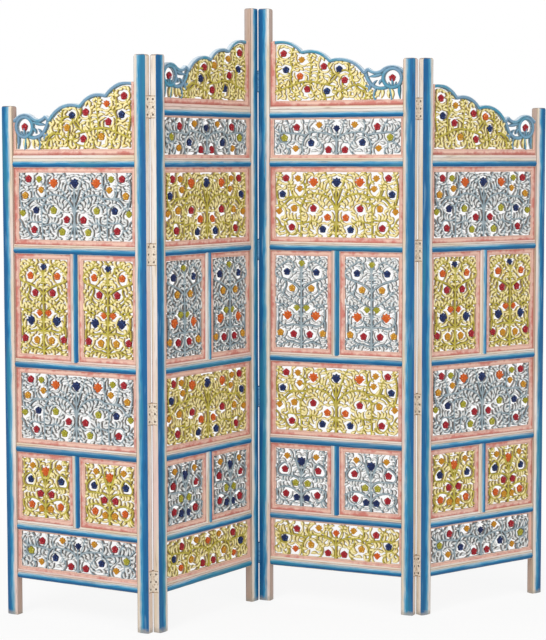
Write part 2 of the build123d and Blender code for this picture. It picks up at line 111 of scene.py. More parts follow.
def begun(name, grain):
    """A new wood material: the place on the piece, the same moved apart for each piece, and streaks.

    grain squeezes the place along each axis, so that a small value draws the streaks out.
    """
    material = bpy.data.materials.new(name)
    material.use_nodes = True
    place = add(material, "TexCoord", out="Object")
    chance = add(material, "ObjectInfo", out="Random")
    apart = add(material, "VectorMath", {0: chance, 1: (7.0, 3.0, 5.0)}, operation="MULTIPLY")
    own = add(material, "VectorMath", {0: place, 1: apart}, operation="ADD")
    drawn = add(material, "VectorMath", {0: own, 1: grain}, operation="MULTIPLY")
    streaks = add(material, "TexNoise", {"Vector": drawn, "Scale": 1 / (4 * MM), "Detail": 4.0})
    return material, place, own, drawn, streaks


def tinted(material, colour, tint, value, start, end, most=1.0):
    """Tints a colour where a value goes from start to end, by up to the most at its end."""
    share = add(material, "MapRange", {0: value, 1: start, 2: end, 4: most})
    return add(material, "Mix", {0: share, 6: colour, 7: tint}, out=2, data_type="RGBA")


def limed(material, drawn, streaks):
    """Limewash rubbed into the wood: chalky white with cream and rose in it, brown in the grain."""
    cream = add(material, "TexNoise", {"Vector": drawn, "Scale": 1 / (22 * MM), "Detail": 3.0})
    colour = tinted(material, LIMEWASH, CREAM, cream, 0.42, 0.6)
    rose = add(material, "TexNoise", {"Vector": drawn, "Scale": 1 / (37 * MM), "Detail": 2.0})
    colour = tinted(material, colour, ROSE_WASH, rose, 0.5, 0.66)
    return tinted(material, colour, BARE_WOOD, streaks, 0.58, 0.74, 0.6)


def blued(material, share, drawn, streaks):
    """Blue distemper, pale at a share of 0 and deep at 1, brushed on thinly so that it streaks."""
    ragged = add(material, "MapRange", {0: streaks, 1: 0.25, 2: 0.75, 3: -0.22, 4: 0.22})
    share = add(material, "Math", {0: share, 1: ragged}, operation="ADD")
    colour = add(material, "ValToRGB", {0: share}, BLUES)
    thin = add(material, "TexNoise", {"Vector": drawn, "Scale": 1 / (12 * MM), "Detail": 4.0})
    colour = tinted(material, colour, "#86B2CC", thin, 0.6, 0.76, 0.7)
    colour = tinted(material, colour, "#0A3252", streaks, 0.44, 0.3, 0.6)
    worn = add(material, "TexNoise", {"Vector": drawn, "Scale": 1 / (34 * MM), "Detail": 2.0})
    patches = add(material, "ValToRGB", {0: worn},
                  [(0.36, "#2A8298"), (0.44, "#4F8B9F"), (0.44, "#16608C")])
    away = add(material, "Math", {0: worn, 1: 0.49}, operation="SUBTRACT")
    away = add(material, "Math", {0: away}, operation="ABSOLUTE")
    return tinted(material, colour, patches, away, 0.05, 0.14, 0.55)


def finished(material, colour, own, streaks):
    """Gives a wood material its colour, and the dents and dull gloss of brushed distemper."""
    dents = add(material, "TexNoise", {"Vector": own, "Scale": 1 / (9 * MM), "Detail": 2.0})
    relief = add(material, "Math", {0: streaks, 1: dents}, operation="ADD")
    bump = add(material, "Bump", {"Height": relief, "Strength": 0.4, "Distance": 0.6 * MM})
    gloss = add(material, "MapRange", {0: streaks, 3: 0.5, 4: 0.75})
    shader = material.node_tree.nodes["Principled BSDF"]
    shader.inputs["Specular IOR Level"].default_value = 0.35
    for socket, value in (("Base Color", colour), ("Normal", bump), ("Roughness", gloss)):
        material.node_tree.links.new(value, shader.inputs[socket])


def lofted(name, rings):
    """A closed bar through rings of equally many points, smooth but for its arrises."""
    count = len(rings[0])
    faces = []
    for start in range(0, (len(rings) - 1) * count, count):
        for index in range(count):
            after = (index + 1) % count
            faces.append((start + index, start + after, start + count + after, start + count + index))
    faces.append(tuple(reversed(range(count))))
    faces.append(tuple(range((len(rings) - 1) * count, len(rings) * count)))
    mesh = bpy.data.meshes.new(name)
    mesh.from_pydata([point for ring in rings for point in ring], [], faces)
    mesh.shade_smooth()
    mesh.set_sharp_from_angle(angle=math.radians(35))
    return mesh


def stood(name, number, mesh, place, materials, node):
    """Stands a mesh of a panel at its place in that panel, in place of the node that it shows."""
    made = bpy.data.objects.new(name, mesh)
    bpy.context.scene.collection.objects.link(made)
    made.matrix_world = stands[number] @ Matrix.Translation(place)
    for material in materials:
        mesh.materials.append(material)
    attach(made, f"panel_{number}")
    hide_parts(node)


def post_section():
    """The outline of a post about its middle: its rounded front, its sides and its eased back."""
    half = POST_WIDTH / 2
    radius = (half ** 2 + POST_BULGE ** 2) / (2 * POST_BULGE)
    sweep = math.asin(half / radius)
    front = [(radius * math.sin(sweep * t), radius - radius * math.cos(sweep * t))
             for t in np.linspace(-1, 1, 17)]
    return front + [(half, POST_BULGE + 2 * MM), (half, POST_DEPTH - ARRIS), (half - ARRIS, POST_DEPTH),
                    (ARRIS - half, POST_DEPTH), (-half, POST_DEPTH - ARRIS), (-half, POST_BULGE + 2 * MM)]


def post_mesh(name, left_edge, height, phase):
    """A post from the floor up, a little uneven along its length as hand planing leaves it."""
    half = POST_WIDTH / 2
    top = height - POST_TOP_ROUND
    levels = [0.0, 1.5 * MM, *np.arange(30 * MM, top - 5 * MM, 30 * MM)]
    levels += [top + POST_TOP_ROUND * math.sin(turn) for turn in np.linspace(0, math.pi / 2, 7)]
    rings = []
    for level in levels:
        rounded = POST_TOP_ROUND - math.sqrt(max(POST_TOP_ROUND ** 2 - max(level - top, 0) ** 2, 0))
        ease = max(rounded, 0.7 * MM if level == 0 else 0.0)
        sway = 0.15 * MM * (1 + math.sin(level * 23 + phase)) if 0 < level < top else 0.0
        ring = []
        for x, y in post_section():
            x = max(ease - half, min(half - ease, x))
            deep = ease * 0.6
            y = min(max(y, deep), POST_DEPTH - deep) + sway * (y < half)
            ring.append((left_edge + half + x, y, level))
        rings.append(ring)
    return lofted(name, rings)


post_wood, place, own, drawn, streaks = begun("distempered_post", (1.0, 1.0, 0.07))
parts = add(post_wood, "SeparateXYZ", {0: place}, out=None)
off = add(post_wood, "Math", {0: parts[0], 1: PANEL_WIDTH / 2}, operation="SUBTRACT")
off = add(post_wood, "Math", {0: off}, operation="ABSOLUTE")
off = add(post_wood, "Math", {0: off, 1: PANEL_WIDTH / 2 - POST_WIDTH}, operation="SUBTRACT")
wander = add(post_wood, "TexNoise", {"Vector": own, "Scale": 1 / (60 * MM), "Detail": 2.0})
wander = add(post_wood, "MapRange", {0: wander, 3: -4 * MM, 4: 4 * MM})
painted = add(post_wood, "Math", {0: off, 1: wander}, operation="ADD")
share = add(post_wood, "MapRange", {0: painted, 1: 8 * MM, 2: 32 * MM})
blue = blued(post_wood, share, drawn, streaks)
lime = limed(post_wood, drawn, streaks)
colour = tinted(post_wood, lime, blue, painted, 8 * MM, 12 * MM)
behind = add(post_wood, "MapRange", {0: parts[1], 1: 4.4 * MM, 2: 6.0 * MM})
before = add(post_wood, "MapRange", {0: parts[1], 1: 25.8 * MM, 2: 25.2 * MM})
side = add(post_wood, "Math", {0: behind, 1: before}, operation="MULTIPLY")
sided = tinted(post_wood, lime, "#A07868", off, 3 * MM, 0.5 * MM, 0.6)
colour = add(post_wood, "Mix", {0: side, 6: colour, 7: sided}, out=2, data_type="RGBA")
# Darker at the inner arris and on the rounded top, painted shade on the sides near the back arrises where
# posts meet in the folds, and the feet are scuffed.
arris = add(post_wood, "MapRange", {0: off, 1: 2.2 * MM, 2: 0.8 * MM, 4: 0.75})
front = add(post_wood, "MapRange", {0: parts[1], 1: 5 * MM, 2: 3.5 * MM})
arris = add(post_wood, "Math", {0: arris, 1: front}, operation="MULTIPLY")
# Painted shade: the sides darken towards their back arrises, as in the folds between posts.
back = add(post_wood, "MapRange", {0: parts[1], 1: 22.5 * MM, 2: 24.5 * MM, 4: 0.8})
back = add(post_wood, "Math", {0: back, 1: before}, operation="MULTIPLY")
up = add(post_wood, "SeparateXYZ", {0: add(post_wood, "TexCoord", out="Normal")}, out=2)
top = add(post_wood, "MapRange", {0: up, 1: 0.25, 2: 0.75, 4: 0.75})
dark = add(post_wood, "Math", {0: arris, 1: top}, operation="MAXIMUM")
dark = add(post_wood, "Math", {0: dark, 1: back}, operation="MAXIMUM")
colour = add(post_wood, "Mix", {0: dark, 6: colour, 7: "#6E5240"}, out=2, data_type="RGBA")
scuffs = add(post_wood, "TexNoise", {"Vector": own, "Scale": 1 / (12 * MM), "Detail": 4.0})
scuffs = add(post_wood, "MapRange", {0: scuffs, 3: -14 * MM, 4: 14 * MM})
foot = add(post_wood, "Math", {0: parts[2], 1: scuffs}, operation="ADD")
colour = tinted(post_wood, colour, "#A9A196", foot, 16 * MM, 4 * MM, 0.7)
finished(post_wood, colour, own, streaks)

for number, (left_height, right_height) in POST_HEIGHTS.items():
    for hand, left_edge, height in (("left", 0.0, left_height),
                                    ("right", PANEL_WIDTH - POST_WIDTH, right_height)):
        name = f"panel_{number}_{hand}_post"
        mesh = post_mesh(name + "_planed", left_edge, height, number * 2.1 + left_edge * 9)
        stood(name + "_planed", number, mesh, (0, 0, 0), [post_wood], name)

# ==== Rails and muntins ===================================================================
# Hardwood bars let into the posts. The front of each is moulded with a flat limewashed fillet
# over a bold blue bead, and a thin limewashed fillet under that. A top rail has a wider fillet.
RAIL_HEIGHT = 28 * MM
TOP_RAIL_HEIGHT = 36 * MM
MUNTIN_WIDTH = 28 * MM
MUNTIN_TENON = 3 * MM           # how deep the muntins are let into the rails
RAIL_SHOULDER, RAIL_BACK = 9 * MM, 24 * MM
HOUSING = 12 * MM               # how deep the rails are let into the posts
FOOT_FILLET = 2 * MM
BEAD = 16 * MM
CLEAR_WIDTH = PANEL_WIDTH - 2 * POST_WIDTH
SHORT, SMALL, LARGE, TALL = 120 * MM, 208 * MM, 227 * MM, 313 * MM
INNER_PANELS = (2, 3)

# The heights of the rails' feet, from the lowest rail, G, to the top rail of an inner panel, T.
rail_foot = {"G": 113 * MM}
for name, below, opening in (("F", "G", SHORT), ("E", "F", SMALL), ("D", "E", LARGE),
                             ("C", "D", TALL), ("A", "C", LARGE), ("T", "A", SHORT)):
    rail_foot[name] = rail_foot[below] + RAIL_HEIGHT + opening


def moulding(height):
    """The section of a bar as (up, deep), up its front from the foot and down its back."""
    outline = [(0.0, RAIL_SHOULDER - 0.5 * MM), (0.4 * MM, RAIL_SHOULDER - 1.6 * MM),
               (FOOT_FILLET, RAIL_SHOULDER - 2.0 * MM)]
    for turn in np.linspace(-1, 1, 13):
        rise = math.cos(turn * math.pi / 2 * 0.92) ** 0.7
        outline.append((FOOT_FILLET + BEAD * (0.5 + 0.48 * turn),
                        RAIL_SHOULDER - 2.2 * MM - 4.2 * MM * rise))
    top = FOOT_FILLET + BEAD
    scribe = (top + height) / 2
    outline += [(up, RAIL_SHOULDER - proud * MM) for up, proud in (
        (top + 0.6 * MM, 2.6), (top + 1.4 * MM, 4.6), (scribe - 0.8 * MM, 5.0), (scribe, 4.0),
        (scribe + 0.8 * MM, 4.9), (height - 1.6 * MM, 3.8), (height - 0.4 * MM, 2.3), (height, 0.5))]
    return outline + [(height, RAIL_BACK - ARRIS), (height - ARRIS, RAIL_BACK), (ARRIS, RAIL_BACK),
                      (0.0, RAIL_BACK - ARRIS)]


def bar_mesh(name, height, length, upright, phase):
    """A moulded bar from the origin. The foot of its moulding is down, or at the right if upright."""
    rings = []
    for along in np.linspace(0, length, round(length / (30 * MM)) + 1):
        sway = 0.15 * MM * (1 + math.sin(along * 31 + phase))
        section = [(up, deep + sway * (deep < RAIL_SHOULDER)) for up, deep in reversed(moulding(height))]
        if upright:
            rings.append([(height - up, deep, along) for up, deep in section])
        else:
            rings.append([(along, deep, up) for up, deep in section])
    return lofted(name, rings)


def bar_wood(name, height, upright):
    """Distempered hardwood for bars of one height: limewashed fillets, and a pale to deep blue bead."""
    grain = (1.0, 1.0, 0.07) if upright else (0.07, 1.0, 1.0)
    material, place, own, drawn, streaks = begun(name, grain)
    parts = add(material, "SeparateXYZ", {0: place}, out=None)
    if upright:
        up = add(material, "Math", {0: height, 1: parts[0]}, operation="SUBTRACT")
    else:
        up = parts[2]
    wander = add(material, "TexNoise", {"Vector": own, "Scale": 1 / (50 * MM), "Detail": 2.0})
    wander = add(material, "MapRange", {0: wander, 3: -1.2 * MM, 4: 1.2 * MM})
    up = add(material, "Math", {0: up, 1: wander}, operation="ADD")
    top = FOOT_FILLET + BEAD
    share = add(material, "MapRange", {0: up, 1: top, 2: FOOT_FILLET + 2 * MM})
    blue = blued(material, share, drawn, streaks)
    lime = limed(material, drawn, streaks)
    over = add(material, "MapRange", {0: up, 1: top - 0.6 * MM, 2: top + 1 * MM})
    under = add(material, "MapRange", {0: up, 1: 1.6 * MM, 2: 0.8 * MM})
    fillet = add(material, "Math", {0: over, 1: under}, operation="MAXIMUM")
    colour = add(material, "Mix", {0: fillet, 6: blue, 7: lime}, out=2, data_type="RGBA")
    # Darker along the scribed line of the fillet.
    scribe = add(material, "Math", {0: up, 1: (top + height) / 2}, operation="SUBTRACT")
    scribe = add(material, "Math", {0: scribe}, operation="ABSOLUTE")
    colour = tinted(material, colour, "#9A7358", scribe, 1.1 * MM, 0.4 * MM, 0.7)
    finished(material, colour, own, streaks)
    return material


rail_wood = bar_wood("distempered_rail", RAIL_HEIGHT, False)
top_rail_wood = bar_wood("distempered_top_rail", TOP_RAIL_HEIGHT, False)
muntin_wood = bar_wood("distempered_muntin", MUNTIN_WIDTH, True)
RAIL_LENGTH = CLEAR_WIDTH + 2 * HOUSING
for number in stands:
    top = "T" if number in INNER_PANELS else "A"
    for rail in "GFEDCA" if number in INNER_PANELS else "GFEDC":
        foot = rail_foot[rail]
        mesh = bar_mesh(f"panel_{number}_rail_{rail}", RAIL_HEIGHT, RAIL_LENGTH, False, number + foot)
        stood(mesh.name, number, mesh, (POST_WIDTH - HOUSING, 0, foot), [rail_wood],
              f"panel_{number}_rails")
    mesh = bar_mesh(f"panel_{number}_rail_{top}", TOP_RAIL_HEIGHT, RAIL_LENGTH, False, number)
    stood(mesh.name, number, mesh, (POST_WIDTH - HOUSING, 0, rail_foot[top]), [top_rail_wood],
          f"panel_{number}_top_rail")
    for below, opening in (("F", SMALL), ("D", TALL)):
        name = f"panel_{number}_muntin_{below}"
        mesh = bar_mesh(name, MUNTIN_WIDTH, opening + 2 * MUNTIN_TENON, True, number)
        foot = rail_foot[below] + RAIL_HEIGHT - MUNTIN_TENON
        stood(mesh.name, number, mesh, ((PANEL_WIDTH - MUNTIN_WIDTH) / 2, 0, foot), [muntin_wood],
              f"panel_{number}_muntins")

# ==== Carved panels =======================================================================
# Boards of mango wood, fretted through and carved in low relief on both faces, let into grooves
# in the frame: scrolling stems, small leaves and flowers inside a plain margin, in distemper.
# Sizes here that have no unit are in millimetres.
MARGIN = 15.0                   # plain margin round the carving

# The carver's drawing of each board, from the middle of its opening. A stem is its first heading
# and the points that it flows through, in arcs that join smoothly. A flower is its place, its
# kind, and its paint on a yellow and on a silver board. All but the trunk is repeated in mirror
# image on the left. Margins are those at the sides, the top and the foot.
LARGE_TREE = {
    "opening": (436, 227),
    "margins": (MARGIN, MARGIN, MARGIN),
    "trunk": [(90, (0, -100), (0, 60))],
    "stems": [
        (85, (2, -22), (30, 22), (72, 34), (108, 14), (118, -30), (117, -100)),
        (0, (100, 24), (138, 22), (168, 6), (190, -12)),
    ],
    "branches": [
        (95, (30, 22), (40, 44), (71, 60)), (0, (102, 46), (117, 47)),
        (60, (96, 28), (104, 52), (127, 72)), (40, (138, 22), (150, 50), (166, 72)),
        (20, (138, 22), (158, 22), (178, 28)), (200, (112, 6), (94, 6), (80, -6)),
        (-40, (116, 0), (128, -2), (138, -8)),
        (-10, (118, -46), (152, -46), (172, -68), (150, -92), (128, -80)), (20, (128, -80), (142, -74)),
        (170, (117, -58), (84, -50), (52, -68)), (50, (0, -62), (14, -50), (24, -44)),
        (-70, (2, -50), (12, -80), (32, -100)), (-20, (172, -68), (190, -58), (203, -40)),
        (70, (188, -10), (198, 32), (184, 100)), (70, (4, 14), (20, 58), (40, 100)),
        (-60, (84, -50), (92, -76), (80, -100)), (120, (104, 52), (100, 78), (84, 100)),
    ],
    "flowers": [
        (0, 66, "lotus", "navy", "navy"), (168, 80, "rose", "red", "red"),
        (129, 78, "bud", "ochre", "lime"), (76, 66, "lotus", "orange", "orange"),
        (180, 31, "rose", "navy", "ochre"), (122, 47, "bud", "ochre", "ochre"),
        (77, -12, "rose", "red", "lime"), (141, -12, "rose", "ochre", "navy"),
        (191, -22, "bud", "ochre", "lime"), (30, -39, "rose", "orange", "red"),
        (149, -70, "rose", "red", "red"), (46, -75, "rose", "navy", "lime"),
    ],
}
TALL_TREE = {
    "opening": (204, 313),
    "margins": (MARGIN, MARGIN, MARGIN),
    "trunk": [(90, (0, -142), (0, 108))],
    "stems": [
        (50, (0, 36), (36, 62), (74, 74), (80, 104), (48, 124), (26, 104)),
        (30, (0, -76), (40, -72), (76, -52), (76, -20), (46, -12)),
    ],
    "branches": [
        (-30, (26, 104), (42, 92)), (40, (0, 10), (20, 22), (30, 34)),
        (20, (0, -14), (42, 10), (89, 52)), (95, (60, 24), (54, 44), (64, 72)),
        (75, (0, -54), (10, -28)), (40, (0, -70), (24, -54), (40, -46)),
        (60, (0, -128), (16, -116), (24, -106)), (20, (0, -132), (40, -122), (66, -102)),
        (-80, (78, -60), (78, -90), (89, -128)), (-40, (40, -122), (56, -128), (72, -142)),
        (110, (8, 70), (-2, 96), (14, 142)), (60, (74, 74), (89, 88)), (120, (50, 124), (44, 142)),
        (-60, (46, -12), (62, -14), (89, -4)),
    ],
    "flowers": [
        (0, 117, "bud", "navy", "lime"), (49, 92, "rose", "orange", "navy"),
        (32, 42, "rose", "red", "ochre"), (16, -19, "bud", "orange", "lime"),
        (47, -43, "lotus", "navy", "orange"), (71, -95, "rose", "red", "ochre"),
        (27, -99, "rose", "ochre", "red"),
    ],
}
SMALL_TREE = {
    "opening": (204, 208),
    "margins": (MARGIN, MARGIN, MARGIN),
    "trunk": [(90, (0, -90), (0, 44))],
    "stems": [
        (60, (0, -14), (30, 4), (66, 4), (80, 26), (60, 44), (46, 30), (54, 24)),
        (60, (0, -58), (34, -32), (72, -34), (80, -58), (54, -74)),
    ],
    "branches": [
        (60, (0, 8), (18, 48), (42, 62)), (75, (0, -40), (14, -22)), (80, (0, -80), (12, -68)),
        (100, (76, 42), (78, 64), (60, 90)), (60, (80, 24), (89, 30)), (90, (54, -74), (50, -60)),
        (-60, (76, -68), (89, -80)), (0, (0, -66), (30, -76), (40, -90)),
        (60, (6, 30), (18, 66), (22, 90)), (-60, (72, -34), (89, -14)),
    ],
    "flowers": [
        (0, 49, "lotus", "orange", "navy"), (49, 65, "bud", "ochre", "ochre"),
        (56, 24, "rose", "navy", "red"), (20, -17, "rose", "red", "lime"),
        (53, -52, "rose", "orange", "red"), (17, -62, "rose", "ochre", "navy"),
    ],
}
SHORT_TREE = {
    "opening": (436, 120),
    "margins": (10, 4, 9.5),
    "trunk": [(90, (0, -52), (0, 22))],
    "stems": [
        (70, (0, -14), (30, 12), (74, 18), (106, 0), (112, -24), (108, -52)),
        (10, (100, 8), (146, 14), (176, 16), (186, -6), (166, -16)),
    ],
    "branches": [
        (60, (30, 12), (44, 26), (56, 34)), (60, (118, 10), (130, 28)), (70, (166, -16), (172, -4)),
        (-60, (112, -20), (128, -30)), (40, (0, -48), (22, -40)), (-60, (84, 17), (86, -8)),
        (40, (180, 12), (208, 36)), (-40, (184, -12), (208, -32)),
        (-70, (166, -16), (160, -34), (166, -52)), (80, (146, 14), (152, 30), (168, 57)),
        (-70, (60, 16), (52, -14), (62, -52)), (70, (88, 16), (92, 32), (84, 57)),
        (80, (10, 0), (18, 26), (28, 57)),
    ],
    "flowers": [
        (0, 27, "bud", "orange", "navy"), (132, 32, "rose", "red", "red"),
        (58, 38, "bud", "ochre", "ochre"), (173, 0, "rose", "navy", "lime"),
        (84, -15, "rose", "ochre", "navy"), (136, -33, "bud", "orange", "ochre"),
        (27, -36, "rose", "red", "red"),
    ],
}
# A crest is drawn from the middle of its foot, low at the left and high at the right. Its
# flowers are listed with their paint on each panel in turn.
CREST = {
    "opening": (436, 206),
    "trunk": [],
    "stems": [
        (160, (204, 46), (132, 72), (58, 72), (0, 96), (-52, 86), (-84, 46), (-70, 18)),
    ],
    "branches": [
        (190, (58, 72), (10, 62), (8, 32), (40, 28)), (250, (112, 76), (98, 60)),
        (100, (62, 72), (60, 100), (46, 118)), (130, (20, 86), (-4, 108)), (100, (132, 72), (124, 88)),
        (70, (148, 68), (150, 110), (120, 140)), (60, (150, 94), (164, 108)),
        (70, (186, 54), (200, 110), (180, 162)), (250, (-6, 96), (-22, 86)),
        (200, (8, 48), (-40, 56), (-96, 18)), (200, (-68, 68), (-96, 54), (-114, 18)),
        (-80, (-20, 84), (-22, 50), (-10, 18)), (-60, (84, 74), (76, 44), (84, 18)),
        (-70, (148, 68), (140, 44), (150, 18)), (-90, (40, 44), (36, 18)),
        (90, (88, 76), (84, 120), (92, 168)), (110, (16, 90), (22, 116), (14, 142)),
        (120, (-40, 92), (-44, 112), (-38, 138)), (60, (146, 124), (150, 160), (140, 190)),
    ],
    "flowers": [
        (-8, 115, "rose", "navy", "red", "navy", "orange"),
        (42, 124, "rose", "red", "ochre", "red", "red"),
        (116, 146, "bud", "orange", "ochre", "ochre", "ochre"),
        (176, 168, "rose", "red", "red", "red", "red"),
        (168, 116, "rose", "navy", "navy", "navy", "navy"),
        (121, 95, "rose", "red", "red", "orange", "red"),
        (-26, 80, "rose", "ochre", "navy", "red", "navy"),
        (32, 47, "rose", "red", "red", "navy", "red"),
        (97, 53, "rose", "ochre", "navy", "red", "ochre"),
    ],
    "tail": (-100, (-92, 106), (-106, 72), (-134, 53), (-164, 56)),
    "scroll_centre": (-180, 84),
    "scroll_ties": [
        (-100, (-172, 54), (-178, 18)), (-150, (-106, 72), (-96, 62)),
        (-60, (-130, 56), (-122, 36), (-126, 18)),
    ],
    # Leaves of the scroll: root, heading, length, curl and half width.
    "scroll_leaves": [
        ((-150, 97), -0.25, 50, 0.2, 5.5), ((-148, 80), -0.6, 20, -0.9, 4.0),
        ((-118, 62), 1.9, 20, 0.8, 3.6), ((-180, 56), 0.5, 20, 0.9, 2.6),
        ((-180, 56), 2.6, 20, -0.9, 2.6), ((-172, 54), -2.2, 36, 0.9, 5.0),
        ((-170, 50), -1.2, 30, -0.8, 5.0), ((-146, 54), -1.9, 34, 0.9, 5.0),
        ((-144, 54), -0.9, 30, -0.9, 4.6), ((-204, 68), -1.4, 48, -0.4, 5.0),
        ((-204, 60), -0.7, 18, 0.9, 3.6), ((-112, 66), -1.0, 24, -0.8, 4.4),
    ],
    "edge_start": (-216, 108),
    "edge": [
        ((-183, 124), (-148, 115)), ((-127, 107), (-106, 117)), ((-98, 116), (-90, 109)),
        ((-60, 137), (20, 147)), ((54, 172), (112, 176)), ((146, 202), (216, 206)),
    ],
}

DRAWINGS = {"large": LARGE_TREE, "tall": TALL_TREE, "small": SMALL_TREE, "short": SHORT_TREE,
            "crest": CREST}

STEM_HALF = 3.4                 # half widths of the carver's strokes
BRANCH_HALF = 2.7
LEAF_HALF = 4.8
CALYX_HALF = 2.6
FLOWER_RADIUS = 12.0
FLOWER_CLEAR = 3.4              # open ring round each flower
VOID = 3.9                      # half the width of the widest gap that is left without a leaf
TONGUE = 3.0                    # of a board, in the grooves of its frame
FRET = 1.5                      # distance between the points of a carved face
FACE, BACK = 9.0, 21.0          # depths of the highest places of the two faces
FACE_RELIEF, BACK_RELIEF = 3.8, 1.6
SCROLL_RADIUS, SCROLL_WIDTH = 35.0, 11.0
CREST_TAIL = 11.0
CREST_RISE_INNER = 196 / 206    # the two taller panels' crests are cut a little lower
CREST_RIM = 11.0
CREST_FOOT = 18.0
CREST_LOW_MARGIN = 6.0
# How high strokes and the plain margin stand, where 1 is the full relief.
CROWNS = {"trunk": 1.0, "stems": 1.0, "branches": 0.92, "leaf": 0.66}
TIE_CROWN, MARGIN_CROWN = 0.8, 0.62

# What the paint of a board goes by, and what that says of a place on no margin or rim.
PAINT_GUIDES = ("across", "rim", "window", "stem")
OFF_RIM, DEEP_IN_WINDOW = -9.0, 20.0
MARGIN_ACROSS = 0.55            # the plain margin is painted as if this far off a ridge


def flow(stem, step=2.0):
    """Points along a stem, and its headings there, through arcs that join smoothly."""
    angle, *points = stem
    heading = math.radians(angle)
    path, headings = [points[0]], [heading]
    for (x0, y0), (x1, y1) in zip(points, points[1:]):
        chord = math.hypot(x1 - x0, y1 - y0)
        half = (math.atan2(y1 - y0, x1 - x0) - heading + math.pi) % (2 * math.pi) - math.pi
        bent = abs(half) > 1e-4
        count = max(2, round(chord * (half / math.sin(half) if bent else 1.0) / step))
        for index in range(1, count + 1):
            share = index / count
            reach = chord * (math.sin(half * share) / math.sin(half) if bent else share)
            aim = heading + half * share
            path.append((x0 + reach * math.cos(aim), y0 + reach * math.sin(aim)))
            headings.append(heading + 2 * half * share)
        heading += 2 * half
    return np.array(path), np.array(headings)


def leaf(root, heading, length, curl, half):
    """A leaf as its midrib and half widths: it leaves the stem at a heading and curls over."""
    count = 9
    midrib = [np.array(root, float)]
    for index in range(count):
        aim = heading + curl * ((index + 0.5) / count) ** 1.3
        midrib.append(midrib[-1] + length / count * np.array([math.cos(aim), math.sin(aim)]))
    share = np.linspace(0, 1, count + 1)
    return np.array(midrib), np.maximum(half * np.sin(np.pi * share ** 0.85), 1.0 + 1.2 * (1 - share))


def reach_of(path, halves, x, y):
    """How far each place lies inside a stroke, and how far across it, from 0 on its midrib to 1."""
    inside = np.full(x.shape, -1e6)
    across = np.ones(x.shape)
    for (x0, y0), (x1, y1), w0, w1 in zip(path, path[1:], halves, halves[1:]):
        dx, dy = x1 - x0, y1 - y0
        share = np.clip(((x - x0) * dx + (y - y0) * dy) / max(dx * dx + dy * dy, 1e-9), 0, 1)
        away = np.hypot(x - x0 - share * dx, y - y0 - share * dy)
        half = w0 + (w1 - w0) * share
        nearer = half - away > inside
        inside = np.where(nearer, half - away, inside)
        across = np.where(nearer, away / np.maximum(half, 1e-9), across)
    return inside, across


